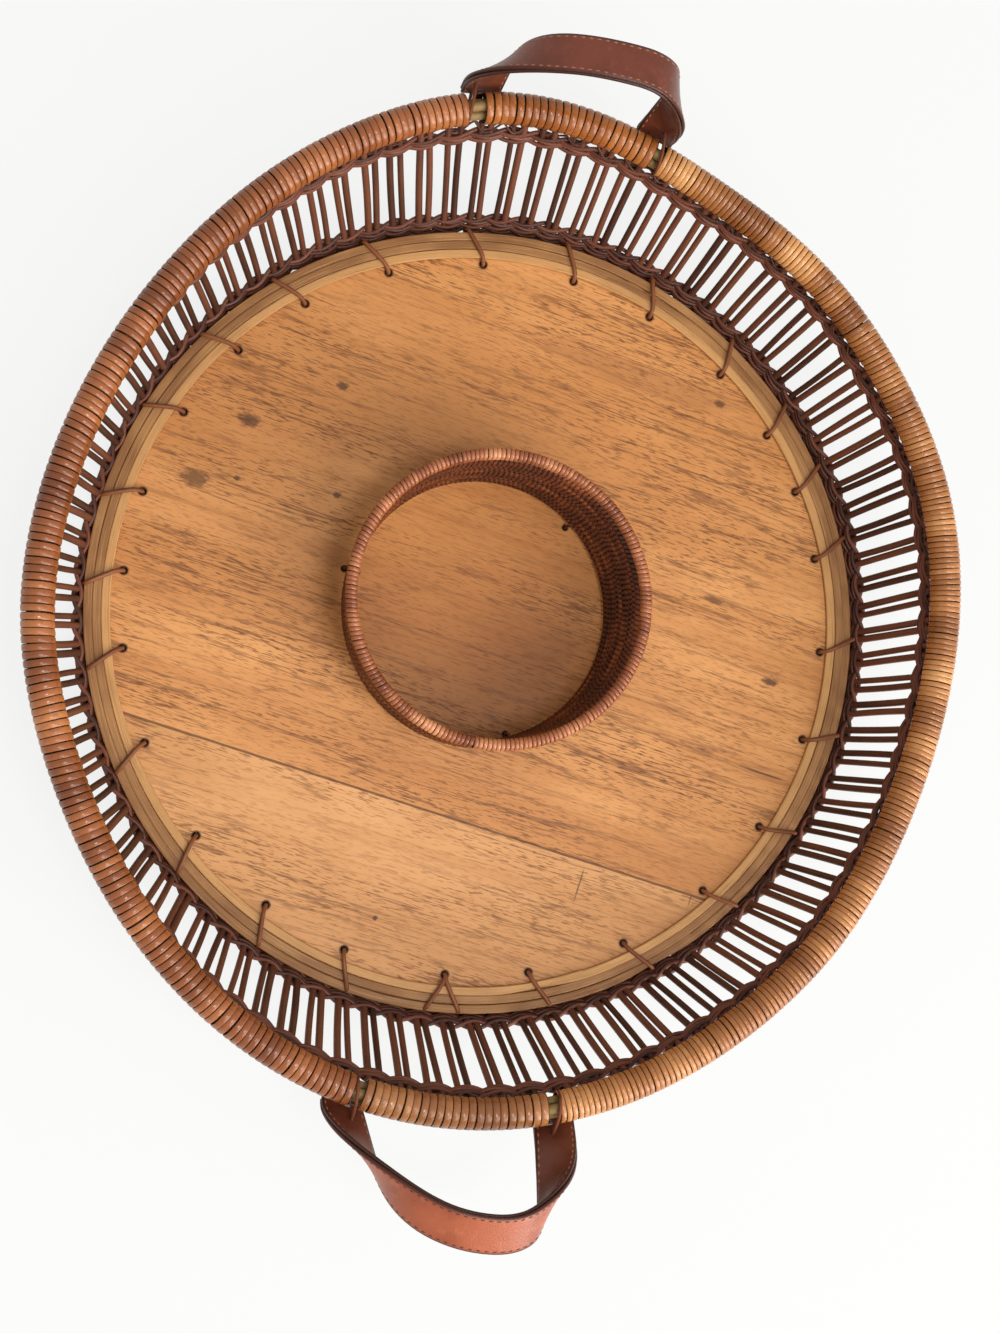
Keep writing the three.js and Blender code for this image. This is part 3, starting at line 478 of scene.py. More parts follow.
def stitch_tree():
    """A row of equal stitches along lines."""
    sizes = {"Spacing": "Float", "Stitch Length": "Float", "Thread Radius": "Float", "Material": "Material"}
    tree, given = geometry_tree("row of stitches", sizes)
    line = add_node(tree, "GeometryNodeMeshToCurve", {"Mesh": given["Geometry"]}).outputs[0]
    spaced = {"Curve": line, "Length": given["Spacing"]}
    points = add_node(tree, "GeometryNodeCurveToPoints", spaced, mode="LENGTH").outputs
    ball = {"Segments": 6, "Rings": 5, "Radius": 1.0}
    thread = add_node(tree, "GeometryNodeMeshUVSphere", ball).outputs["Mesh"]
    half = maths(tree, "MULTIPLY", given["Stitch Length"], 0.5)
    shape = combined(tree, given["Thread Radius"], given["Thread Radius"], half)
    thread = add_node(tree, "GeometryNodeTransform", {"Geometry": thread, "Scale": shape}).outputs[0]
    laid = {"Points": points["Points"], "Instance": thread, "Rotation": points["Rotation"]}
    stitches = add_node(tree, "GeometryNodeInstanceOnPoints", laid).outputs[0]
    end_tree(tree, stitches, given["Material"])
    return tree


WOUND_STRIP = wound_strip_tree()
STRAND = strand_tree("strand along a line", "MINIMUM_TWIST")
LEVEL_STRAND = strand_tree("level strand along a line", "Z_UP")
STITCHES = stitch_tree()


def line_mesh(name, lines):
    """Bare edges, one chain for each line. A line is its points, a thickness and whether it closes."""
    points, edges, thicknesses = [], [], []
    for spots, thickness, looped in lines:
        first = len(points)
        count = len(spots)
        points.extend(spots)
        thicknesses.extend(thickness if isinstance(thickness, list) else [thickness] * count)
        edges.extend((first + i, first + i + 1) for i in range(count - 1))
        if looped:
            edges.append((first + count - 1, first))
    mesh = bpy.data.meshes.new(name)
    mesh.from_pydata(points, edges, [])
    mesh.attributes.new("thickness", "FLOAT", "POINT").data.foreach_set("value", thicknesses)
    return mesh


def section_object(name, outline):
    """A closed outline in the XY plane that strands take as their section."""
    spots = [Vector((x, y, 0)) for x, y in outline]
    shape = bpy.data.objects.new(name, line_mesh(name, [(spots, 1.0, True)]))
    bpy.context.scene.collection.objects.link(shape)
    return shape


def round_outline(sides):
    turns = [TAU * k / sides for k in range(sides)]
    return [(math.cos(turn), math.sin(turn)) for turn in turns]


def grown(name, tree, lines, settings):
    """The plain mesh that a geometry tree makes from lines."""
    carrier = bpy.data.objects.new(name + "_lines", line_mesh(name + "_lines", lines))
    bpy.context.scene.collection.objects.link(carrier)
    modifier = carrier.modifiers.new(tree.name, "NODES")
    modifier.node_group = tree
    for item in tree.interface.items_tree:
        if item.in_out == "INPUT" and item.name in settings:
            modifier[item.identifier] = settings[item.name]
    graph = bpy.context.evaluated_depsgraph_get()
    evaluated = carrier.evaluated_get(graph)
    mesh = bpy.data.meshes.new_from_object(evaluated, preserve_all_data_layers=True, depsgraph=graph)
    bpy.data.objects.remove(carrier)
    return mesh


def add_piece(name, mesh, body, nodes=()):
    """A finished piece that rides on a body and takes the place of plain solids of the part."""
    mesh.name = name
    piece = bpy.data.objects.new(name, mesh)
    bpy.context.scene.collection.objects.link(piece)
    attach(piece, body)
    if nodes:
        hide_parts(*nodes)
    return piece


# Finishes


def srgb(red, green, blue):
    """A colour as it is seen, written from 0 to 255, in the light's own scale."""
    def linear(value):
        share = value / 255
        return share / 12.92 if share <= 0.04045 else ((share + 0.055) / 1.055) ** 2.4
    return (linear(red), linear(green), linear(blue), 1)


def shader_group(name, inputs, outputs):
    tree = bpy.data.node_groups.new(name, "ShaderNodeTree")
    for socket, (kind, value) in inputs.items():
        item = tree.interface.new_socket(socket, in_out="INPUT", socket_type="NodeSocket" + kind)
        item.default_value = value
    for socket, kind in outputs.items():
        tree.interface.new_socket(socket, in_out="OUTPUT", socket_type="NodeSocket" + kind)
    return tree, tree.nodes.new("NodeGroupInput").outputs


def placed(tree, group, inputs):
    return add_node(tree, "ShaderNodeGroup", inputs, node_tree=group).outputs


def streak_group():
    """Streaks drawn out along X: their count per metre along and across."""
    inputs = {
        "Coordinates": ("Vector", (0, 0, 0)), "Along": ("Float", 10), "Across": ("Float", 100),
        "Seed": ("Float", 0), "Detail": ("Float", 3),
    }
    tree, given = shader_group("fibre streaks", inputs, {"Streak": "Float"})
    stretch = combined(tree, given["Along"], given["Across"], given["Across"])
    drawn = vectors(tree, "MULTIPLY", given["Coordinates"], stretch)
    noise_inputs = {"Vector": drawn, "W": given["Seed"], "Scale": 1.0, "Detail": given["Detail"]}
    streak = add_node(tree, "ShaderNodeTexNoise", noise_inputs, noise_dimensions="4D").outputs[0]
    add_node(tree, "NodeGroupOutput", {"Streak": streak})
    return tree


def strand_tone_group():
    """Tone along a strand: changes from strand to strand, along each one and between its fibres."""
    inputs = {"Strand": ("Float", 0), "Along": ("Float", 0), "Side": ("Float", 0), "Fibres": ("Float", 9)}
    tree, given = shader_group("strand tone", inputs, {"Tone": "Float", "Fibre": "Float"})
    patches_per_metre = 40
    room_between_strands = 97
    length = maths(tree, "MULTIPLY", given["Along"], patches_per_metre)
    offset = maths(tree, "MULTIPLY", given["Strand"], room_between_strands)
    around = maths(tree, "MULTIPLY", given["Side"], given["Fibres"])
    patch = noise(tree, combined(tree, length, offset, 0.0), 1.0, 2.0)
    fibre = noise(tree, combined(tree, length, offset, around), 1.0, 3.0)
    own = maths(tree, "MULTIPLY", given["Strand"], 0.5)
    tone = maths(tree, "ADD", maths(tree, "MULTIPLY", patch, 0.5), own)
    add_node(tree, "NodeGroupOutput", {"Tone": tone, "Fibre": fibre})
    return tree


def mark_group():
    """A soft uneven mark round a centre, drawn out along X."""
    inputs = {
        "Coordinates": ("Vector", (0, 0, 0)), "Centre": ("Vector", (0, 0, 0)),
        "Reach": ("Vector", (0.01, 0.01, 1)), "Raggedness": ("Float", 0.6),
    }
    tree, given = shader_group("uneven mark", inputs, {"Mask": "Float"})
    offset = vectors(tree, "SUBTRACT", given["Coordinates"], given["Centre"])
    away = vectors(tree, "DIVIDE", offset, given["Reach"])
    length = add_node(tree, "ShaderNodeVectorMath", {0: away}, operation="LENGTH").outputs["Value"]
    uneven = maths(tree, "SUBTRACT", noise(tree, away, 2.2, 4.0), 0.5)
    ragged = maths(tree, "MULTIPLY", uneven, given["Raggedness"])
    edge = maths(tree, "ADD", length, maths(tree, "MULTIPLY", ragged, 2))
    add_node(tree, "NodeGroupOutput", {"Mask": ranged(tree, edge, 0.95, 0.45)})
    return tree


STREAKS = streak_group()
STRAND_TONE = strand_tone_group()
MARK = mark_group()


def new_material(name, roughness, specular=0.5):
    material = bpy.data.materials.new(name)
    material.use_nodes = True
    tree = material.node_tree
    shader = tree.nodes["Principled BSDF"]
    shader.inputs["Roughness"].default_value = roughness
    shader.inputs["Specular IOR Level"].default_value = specular
    return material, tree, shader


def attribute(tree, name):
    return add_node(tree, "ShaderNodeAttribute", attribute_name=name).outputs["Fac"]


def finish_surface(tree, shader, colour, roughness):
    tree.links.new(colour, shader.inputs["Base Color"])
    tree.links.new(roughness, shader.inputs["Roughness"])


def bump(tree, shader, height, depth, strength):
    inputs = {"Height": height, "Distance": depth, "Strength": strength}
    normal = add_node(tree, "ShaderNodeBump", inputs).outputs[0]
    tree.links.new(normal, shader.inputs["Normal"])


def painted_shade_in_cup(tree, spot, colour):
    """The wood's colour with painted shade on the floor inside the cup, deepest towards the front right."""
    middle = CUP_CENTRE + CUP_BASE_SHIFT + UP * BOARD_TOP
    from_middle = distance(tree, spot, middle)
    inside = ranged(tree, from_middle, CUP_BASE_RADIUS, CUP_BASE_RADIUS - CUP_SHADE_EDGE)
    colour = mixed(tree, inside, colour, CUP_FLOOR_SHADE_TINT, "MULTIPLY")
    # Deeper painted shadow towards the front right of the cup's floor
    from_shadow = distance(tree, spot, middle + CUP_SHADOW_SHIFT)
    wear_and_shade = maths(tree, "MULTIPLY", inside, ranged(tree, from_shadow, CUP_SHADOW_RADIUS, CUP_SHADOW_CORE))
    return mixed(tree, wear_and_shade, colour, CUP_SHADOW_TINT, "MULTIPLY")


def veneer_material(name, pale, deep, pore, seed, marks):
    """Satin wood leaf: bands and fine dark dashes along the grain, marks of use and painted shade round the
    cup.
    """
    material, tree, shader = new_material(name, 0.5, 0.35)
    spot = spot_on_piece(tree)
    turned = add_node(tree, "ShaderNodeMapping", {"Vector": spot, "Rotation": (0, 0, -SEAM_ANGLE)}).outputs[0]

    def grain(along, across, shift, detail):
        inputs = {"Coordinates": turned, "Along": along, "Across": across}
        inputs.update({"Seed": seed + shift, "Detail": detail})
        return placed(tree, STREAKS, inputs)[0]

    colour = mixed(tree, ranged(tree, grain(4.0, 16.0, 0, 4.0), 0.32, 0.68), pale, deep)
    bands = grain(4.0, 120.0, 3, 5.0)
    colour = mixed(tree, ranged(tree, bands, 0.45, 0.7, 0.0, 0.7), colour, deep)
    cloud = grain(26.0, 60.0, 7, 4.0)
    colour = mixed(tree, ranged(tree, cloud, 0.4, 0.68, 0.0, 0.45), colour, deep)

    # The pores are thin lines and short dashes, which crowd together in some bands.
    crowding = ranged(tree, grain(9.0, 48.0, 11, 3.0), 0.36, 0.62, 0.35, 1.0)
    from_line = maths(tree, "ABSOLUTE", maths(tree, "SUBTRACT", grain(11.0, 210.0, 5, 4.0), 0.5))
    lines = maths(tree, "MULTIPLY", ranged(tree, from_line, 0.03, 0.0, 0.0, 0.75), crowding)
    pores = grain(210.0, 1800.0, 9, 2.0)
    dashes = maths(tree, "MULTIPLY", ranged(tree, pores, 0.5, 0.66, 0.0, 0.85), crowding)
    colour = mixed(tree, lines, colour, pore)
    colour = mixed(tree, dashes, colour, pore)

    across_grain = add_node(tree, "ShaderNodeSeparateXYZ", {0: turned}).outputs[1]
    from_seam = maths(tree, "ABSOLUTE", maths(tree, "ADD", across_grain, SEAM_OFFSET))
    colour = mixed(tree, ranged(tree, from_seam, 0.8 * MM, 0.3 * MM, 0.0, 0.8), colour, SEAM_DIRT)
    for centre, reach, darkness, tint in marks:
        inputs = {"Coordinates": turned, "Centre": (*along_grain(*centre), BOARD_TOP), "Reach": (*reach, 1.0)}
        mask = placed(tree, MARK, inputs)[0]
        colour = mixed(tree, maths(tree, "MULTIPLY", mask, darkness), colour, tint)
    colour = painted_shade_in_cup(tree, spot, colour)
    colour = mixed(tree, ranged(tree, attribute(tree, "hole"), 0.15, 1.0), colour, HOLE_EDGE)
    finish_surface(tree, shader, colour, ranged(tree, pores, 0.5, 0.8, 0.46, 0.62))
    bump(tree, shader, maths(tree, "ADD", lines, dashes), -0.1 * MM, 0.4)
    return material


def plywood_material():
    """Bare plies on the edge and a plain sheet below."""
    material, tree, shader = new_material("plywood_core", 0.75, 0.25)
    spot = spot_on_piece(tree)
    height = add_node(tree, "ShaderNodeSeparateXYZ", {0: spot}).outputs[2]
    plies = maths(tree, "SINE", maths(tree, "MULTIPLY", height, TAU / PLY_PITCH))
    streaks = {"Coordinates": spot, "Along": 8.0, "Across": 400.0, "Seed": 2.0, "Detail": 3.0}
    grain = placed(tree, STREAKS, streaks)[0]
    colour = mixed(tree, ranged(tree, grain, 0.35, 0.7), srgb(196, 152, 104), srgb(160, 112, 70))
    colour = mixed(tree, ranged(tree, plies, -0.2, 0.6, 0.0, 0.35), colour, srgb(120, 78, 46))
    finish_surface(tree, shader, colour, ranged(tree, grain, 0.3, 0.8, 0.65, 0.85))
    bump(tree, shader, grain, 0.2 * MM, 0.5)
    return material


def wound_material(name, dark, middle, light, groove_shade, roughness, reach):
    """Glossy wound cane: tone that drifts along the strip, fine fibres and painted shade in the grooves
    between turns.
    """
    material, tree, shader = new_material(name, roughness, 0.5)
    turn = attribute(tree, "turn")
    crown = attribute(tree, "crown")
    drift = noise_along(tree, turn, 0.07, 5.0, 0.62)
    fleck = noise(tree, spot_on_piece(tree), 420.0, 3.0)
    around = combined(tree, maths(tree, "MULTIPLY", turn, 6), maths(tree, "MULTIPLY", crown, 9), 0.0)
    fibre = noise(tree, around, 1.0, 2.0)
    colour = mixed(tree, ranged(tree, drift, 0.3, 0.62), dark, middle)
    colour = mixed(tree, ranged(tree, drift, 0.5, 0.75), colour, light)
    colour = mixed(tree, ranged(tree, fleck, 0.5, 0.78, 0.0, 0.4), colour, dark)
    colour = mixed(tree, ranged(tree, fibre, 0.5, 0.8, 0.0, 0.35), colour, light)
    # Painted shade in the grooves between the turns
    colour = mixed(tree, ranged(tree, crown, reach, reach - 0.55), colour, groove_shade)
    finish_surface(tree, shader, colour, ranged(tree, fleck, 0.3, 0.8, roughness - 0.06, roughness + 0.16))
    bump(tree, shader, maths(tree, "ADD", fibre, fleck), 0.08 * MM, 0.5)
    return material


def strand_material(name, dark, light, roughness, fibres=9.0, specular=0.4, contrast=0.35):
    """Rattan, cane, thong or thread with its own tone, lengthwise fibres and a dull sheen."""
    material, tree, shader = new_material(name, roughness, specular)
    inputs = {
        "Strand": attribute(tree, "strand"), "Along": attribute(tree, "along"),
        "Side": attribute(tree, "side"), "Fibres": fibres,
    }
    tone, fibre = placed(tree, STRAND_TONE, inputs)
    colour = mixed(tree, ranged(tree, tone, 0.25, 0.75), dark, light)
    colour = mixed(tree, ranged(tree, fibre, 0.5, 0.75, 0.0, contrast), colour, dark)
    colour = mixed(tree, ranged(tree, fibre, 0.5, 0.25, 0.0, contrast), colour, light)
    finish_surface(tree, shader, colour, ranged(tree, fibre, 0.25, 0.75, roughness - 0.1, roughness + 0.12))
    bump(tree, shader, fibre, 0.2 * MM, 0.6)
    return material


def leather_material(name, deep, warm, wear_and_shade, edge_colour):
    """Strap leather: pebbled grain, rubbed high spots and dyed edges."""
    material, tree, shader = new_material(name, 0.45, 0.45)
    spot = spot_on_piece(tree)
    pebble = add_node(tree, "ShaderNodeTexVoronoi", {"Vector": spot, "Scale": 1500.0}).outputs["Distance"]
    cloud = noise(tree, spot, 45.0, 4.0)
    crease = noise(tree, spot, 260.0, 5.0)
    colour = mixed(tree, ranged(tree, cloud, 0.3, 0.7), deep, warm)
    colour = mixed(tree, ranged(tree, crease, 0.5, 0.8, 0.0, 0.4), colour, wear_and_shade)
    colour = mixed(tree, ranged(tree, attribute(tree, "edge"), 0.86, 1.0), colour, edge_colour)
    finish_surface(tree, shader, colour, ranged(tree, cloud, 0.3, 0.75, 0.3, 0.46))
    grain = maths(tree, "ADD", pebble, maths(tree, "MULTIPLY", crease, 0.8))
    bump(tree, shader, grain, 0.15 * MM, 0.4)
    return material


BURNT = srgb(72, 40, 20)
# Colour of the darker bands in the wood, and of the painted shade in and round the cup
AGED_AND_SHADE = srgb(150, 92, 48)
SEAM_DIRT = srgb(96, 54, 26)
HOLE_EDGE = srgb(52, 26, 12)
# Tints of the painted shade on the floor inside the cup
CUP_FLOOR_SHADE_TINT = srgb(249, 238, 212)
CUP_SHADOW_TINT = srgb(226, 216, 200)
# Marks of use and painted shade on both leaves: place, reach along and across the grain, darkness and colour
MAIN_MARKS = [
    # Painted shade in and round the cup
    ((CUP_CENTRE + CUP_BASE_SHIFT).to_2d(), (90 * MM, 90 * MM), 0.3, AGED_AND_SHADE),
    ((62 * MM, 124 * MM), (75 * MM, 9 * MM), 0.45, AGED_AND_SHADE),
    ((20 * MM, 70 * MM), (40 * MM, 6 * MM), 0.3, AGED_AND_SHADE),
    ((-70 * MM, 18 * MM), (26 * MM, 7 * MM), 0.3, AGED_AND_SHADE),
    ((143 * MM, -57 * MM), (17 * MM, 0.7 * MM), 0.8, BURNT),
    ((-118.9 * MM, 74.6 * MM), (7 * MM, 4 * MM), 0.75, BURNT),
    ((-140.1 * MM, 44.5 * MM), (9 * MM, 5 * MM), 0.7, BURNT),
    ((-78.8 * MM, 96.9 * MM), (4 * MM, 2.5 * MM), 0.8, BURNT),
    ((102.7 * MM, 117.4 * MM), (4 * MM, 2.2 * MM), 0.75, BURNT),
    ((142.3 * MM, -12.9 * MM), (6 * MM, 2.2 * MM), 0.85, BURNT),
    ((110.4 * MM, 22.7 * MM), (7 * MM, 2.5 * MM), 0.6, BURNT),
    ((-75.4 * MM, 46.3 * MM), (2.6 * MM, 2 * MM), 0.8, BURNT),
    ((-121.4 * MM, 47.3 * MM), (2 * MM, 1.6 * MM), 0.8, BURNT),
]
SIDE_MARKS = [
    ((-35 * MM, -143.6 * MM), (1.6 * MM, 1.6 * MM), 0.9, BURNT),
    ((58.7 * MM, -119 * MM), (0.6 * MM, 10 * MM), 0.7, BURNT),
    ((113.6 * MM, -119.5 * MM), (0.5 * MM, 5 * MM), 0.6, BURNT),
]

VENEER_MAIN = veneer_material(
    "veneer_main", srgb(216, 153, 91), srgb(188, 124, 65), srgb(108, 62, 28), 1.0, MAIN_MARKS
)
VENEER_SIDE = veneer_material(
    "veneer_side", srgb(216, 159, 102), srgb(194, 135, 78), srgb(126, 78, 40), 4.0, SIDE_MARKS
)
PLYWOOD = plywood_material()
HOOP_CANE = strand_material(
    "hoop_cane", srgb(130, 84, 42), srgb(200, 148, 90), 0.5, fibres=40.0, contrast=0.6
)
LACING_CANE = strand_material("lacing_cane", srgb(112, 60, 30), srgb(160, 98, 56), 0.5)
STAKE_RATTAN = strand_material("stake_rattan", srgb(62, 33, 22), srgb(108, 62, 42), 0.5)
WEAVER_RATTAN = strand_material("weaver_rattan", srgb(60, 28, 17), srgb(112, 60, 40), 0.5)
RIM_ROD = strand_material("rim_rod", srgb(84, 66, 36), srgb(140, 112, 66), 0.55)
THONG = strand_material("thong_leather", srgb(78, 38, 23), srgb(118, 66, 42), 0.7, specular=0.2)
STRAP_THREADS = {
    "back": strand_material("back_strap_thread", srgb(150, 96, 70), srgb(176, 122, 94), 0.7),
    "front": strand_material("front_strap_thread", srgb(84, 44, 28), srgb(108, 62, 42), 0.7),
}
LINING_THREAD = strand_material("lining_thread", srgb(156, 102, 76), srgb(184, 130, 102), 0.7)
# Painted shade in the grooves of the rim's wound cane
WRAP_GROOVE_SHADE = srgb(34, 13, 5)
# Each stretch of the rim has its own copy of the cane's colours as painted light and shade: the right is
# brightest
WRAP_LIT_SHADED_COLOURS = {
    "right": (srgb(124, 70, 30), srgb(170, 109, 58), srgb(210, 152, 94)),
    "back": (srgb(104, 52, 18), srgb(148, 84, 38), srgb(186, 116, 58)),
    "left": (srgb(104, 52, 22), srgb(148, 84, 44), srgb(184, 118, 70)),
    "front": (srgb(98, 53, 24), srgb(142, 87, 47), srgb(188, 130, 80)),
}
WRAP_LIT_SHADED_CANES = {}
for stretch, tones in WRAP_LIT_SHADED_COLOURS.items():
    WRAP_LIT_SHADED_CANES[stretch] = wound_material("wrap_cane_" + stretch, *tones, WRAP_GROOVE_SHADE, 0.24, 0.62)
# The fourth colour of each cup cane is the painted shade in its grooves
CUP_CANE = wound_material(
    "cup_cane", srgb(66, 29, 12), srgb(101, 46, 21), srgb(146, 78, 41), srgb(24, 8, 3), 0.4, 0.5
)
CUP_WRAP_CANE = wound_material(
    "cup_wrap_cane", srgb(116, 58, 30), srgb(162, 94, 56), srgb(204, 138, 94), srgb(46, 17, 7), 0.26, 0.62
)
# Front strap paler partly from real wear, partly as painted light; back strap darker as painted shade
STRAP_LEATHERS_WEAR_AND_LIGHT = {
    "back": leather_material(
        "back_strap_leather", srgb(90, 40, 25), srgb(112, 53, 34), srgb(136, 72, 50), srgb(62, 27, 18)
    ),
    "front": leather_material(
        "front_strap_leather", srgb(134, 64, 38), srgb(162, 84, 52), srgb(188, 110, 76), srgb(70, 31, 20)
    ),
}
LINING_LEATHER = leather_material(
    "lining_leather", srgb(84, 40, 26), srgb(106, 54, 36), srgb(128, 70, 48), srgb(58, 27, 18)
)

# Board


def circle_spots(centre_x, centre_y, radius, count):
    turns = [TAU * k / count for k in range(count)]
    return [Vector((centre_x + radius * math.cos(t), centre_y + radius * math.sin(t))) for t in turns]


def drilled_plate(outline, holes, bottom, top, material):
    """A flat plate with round holes. Its hole attribute fades from 1 at a hole's edge to 0 beside it."""
    spots = list(outline)
    edges = [(i, (i + 1) % len(outline)) for i in range(len(outline))]
    for x, y, radius in holes:
        for size, _ in HOLE_DARKENING:
            first = len(spots)
            spots.extend(circle_spots(x, y, radius * size, HOLE_SIDES))
            edges.extend((first + i, first + (i + 1) % HOLE_SIDES) for i in range(HOLE_SIDES))
    whole_hull, same_spot = 0, 1e-7
    flat, _, triangles, *_ = delaunay_2d_cdt(spots, edges, [], whole_hull, same_spot)

    def from_hole(spot):
        """How far a spot lies from the nearest hole's middle, as a share of the hole's radius."""
        return min(math.hypot(spot.x - x, spot.y - y) / radius for x, y, radius in holes)

    just_inside = 0.99
    kept = []
    for a, b, c in triangles:
        if from_hole((flat[a] + flat[b] + flat[c]) / 3) > just_inside:
            kept.append((a, b, c))
    count = len(flat)
    points = [(spot.x, spot.y, top) for spot in flat] + [(spot.x, spot.y, bottom) for spot in flat]
    faces = kept + [(c + count, b + count, a + count) for a, b, c in kept]
    sides = [side for a, b, c in kept for side in ((a, b), (b, c), (c, a))]
    inner_sides = set(sides)
    for a, b in sides:
        if (b, a) not in inner_sides:
            faces.append((b, a, a + count, b + count))
    mesh = bpy.data.meshes.new("plate")
    mesh.from_pydata(points, [], faces)
    slack = 0.05
    darkening = []
    for spot in flat:
        near = from_hole(spot)
        darkening.append(next((dark_share for size, dark_share in HOLE_DARKENING if near < size + slack), 0.0))
    mesh.attributes.new("hole", "FLOAT", "POINT").data.foreach_set("value", darkening * 2)
    mesh.materials.append(material)
    mesh.update()
    return mesh


def board_holes():
    spots = [(polar(HOLE_CIRCLE, degree * DEGREE, 0), HOLE_RADIUS) for degree in HOLE_DEGREES]
    for degree in TIE_DEGREES:
        for push in (-TIE_REACH, TIE_REACH):
            spots.append((around_cup(degree * DEGREE, 0, push), TIE_HOLE_RADIUS))
    return [(spot.x, spot.y, radius) for spot, radius in spots]


def build_board():
    holes = board_holes()
    round_edge = circle_spots(0, 0, BOARD_RADIUS, BOARD_SIDES)
    core = drilled_plate(round_edge, holes, BOARD_UNDERSIDE, LEAF_UNDERSIDE, PLYWOOD)
    add_piece("board_core", core, "tray", ["base_core"])

    # The edge of each leaf is an arc between the two ends of its own side of the seam.
    main_dip = math.asin((SEAM_OFFSET - SEAM_GAP / 2) / BOARD_RADIUS)
    side_dip = math.asin((SEAM_OFFSET + SEAM_GAP / 2) / BOARD_RADIUS)
    leaves = {
        "main": (SEAM_ANGLE - main_dip, SEAM_ANGLE + math.pi + main_dip, 1, VENEER_MAIN),
        "side": (SEAM_ANGLE - math.pi + side_dip, SEAM_ANGLE - side_dip, -1, VENEER_SIDE),
    }
    for leaf, (start, end, side, material) in leaves.items():
        angles = [start + (end - start) * step / LEAF_STEPS for step in range(LEAF_STEPS + 1)]
        edge = [polar(BOARD_RADIUS, angle, 0).to_2d() for angle in angles]
        own = [(x, y, radius) for x, y, radius in holes if (along_grain(x, y)[1] + SEAM_OFFSET) * side > 0]
        mesh = drilled_plate(edge, own, LEAF_UNDERSIDE, BOARD_TOP, material)
        add_piece("board_leaf_" + leaf, mesh, "tray", ["face_veneer_" + leaf])


# Hoop and lacing


def hoop_section():
    """A flat strip with rounded edges and fine lengthwise grooves on its upper and lower sides."""
    half_width = HOOP_STRIP_WIDTH / 2
    half_height = HOOP_STRIP_HEIGHT / 2
    flat_half = half_width * HOOP_FLAT_SHARE
    steps = 8
    upper = []
    for step in range(steps + 1):
        depth = HOOP_GROOVE if step % 2 else 0
        upper.append((-flat_half + 2 * flat_half * step / steps, half_height - depth))
    lower = [(-x, -y) for x, y in upper]
    return [(half_width, 0)] + upper[::-1] + [(-half_width, 0)] + lower[::-1]


def hoop_line(radius, joint, sway):
    """The line of one strip with its lap, and its thickness at each point."""
    steps = 240
    line, thicknesses = [], []
    for step in range(steps + 1):
        share = step / steps
        angle = joint - HOOP_LAP / 2 + (TAU + HOOP_LAP) * share
        wave = sum(math.sin((k + 2) * angle + start) for k, start in enumerate(sway)) * HOOP_WAVE
        sprung = smoothstep(share, 1 - HOOP_SPRING_LAPS * HOOP_LAP / TAU, 1)
        shaved = max(sprung, 1 - smoothstep(share, 0, HOOP_LAP / TAU))
        size = 1 - HOOP_END_SHAVE * shaved
        z = BOARD_TOP + HOOP_LIFT + HOOP_STRIP_HEIGHT / 2 * size + HOOP_END_RISE * sprung
        line.append(polar(radius + wave - HOOP_END_SHIFT * sprung, angle, z) + HOOP_CENTRE)
        thicknesses.append(size)
    return line, thicknesses


def build_hoop():
    section = section_object("hoop_section", hoop_section())
    for i, (name, joint) in enumerate(zip(HOOP_STRIPS, HOOP_JOINT_DEGREES)):
        radius = HOOP_INNER_RADIUS + HOOP_STRIP_WIDTH / 2 + i * HOOP_STRIP_STEP
        draw = random.Random(HOOP_SEED + i)
        sway = [draw.uniform(0, TAU) for _ in range(3)]
        line, thicknesses = hoop_line(radius, joint * DEGREE, sway)
        settings = {"Section": section, "Seed": i, "Material": HOOP_CANE}
        mesh = grown("hoop_" + name, LEVEL_STRAND, [(line, thicknesses, False)], settings)
        add_piece("hoop_cane_" + name, mesh, "tray", ["hoop_strip_" + name])
    bpy.data.objects.remove(section)


def lacing_stitch(degree, slant):
    """Up through its hole, aslant over the hoop, down beside the board and back under it."""
    hole = degree * DEGREE
    far = hole + slant
    over = BOARD_TOP + HOOP_LIFT + HOOP_STRIP_HEIGHT + 0.9 * LACING_RADIUS
    under = BOARD_UNDERSIDE - 1.4 * LACING_RADIUS
    edge = HOOP_INNER_RADIUS + len(HOOP_STRIPS) * HOOP_STRIP_STEP
    lean = 0.001
    return [
        polar(HOLE_CIRCLE, hole, under),
        polar(HOLE_CIRCLE, hole, BOARD_TOP - LACING_RADIUS),
        polar(HOLE_CIRCLE + 0.7 * LACING_RADIUS, hole + lean, BOARD_TOP + LACING_RADIUS),
        polar(HOOP_INNER_RADIUS + LACING_RADIUS, hole + 0.2 * slant, over),
        polar(edge - LACING_RADIUS, hole + 0.9 * slant, over),
        polar(edge + LACING_RADIUS, far, BOARD_TOP),
        polar(edge + LACING_RADIUS, far, BOARD_TOP - 4 * LACING_RADIUS),
        polar(edge + 0.4 * LACING_RADIUS, far, under),
    ]


def build_lacing():
    section = section_object("lacing_section", round_outline(sides=8))
    route = []
    for degree in HOLE_DEGREES:
        if degree == DOUBLED_LACING_DEGREE:
            route.extend(lacing_stitch(degree, -LACING_SLANT))
        route.extend(lacing_stitch(degree, LACING_SLANT))
    line = smooth_line(route, 4)
    settings = {"Section": section, "Seed": 1, "Material": LACING_CANE}
    mesh = grown("lacing", STRAND, [(line, LACING_RADIUS, False)], settings)
    add_piece("edge_lacing_strand", mesh, "tray", ["edge_lacing"])
    bpy.data.objects.remove(section)


# Gallery


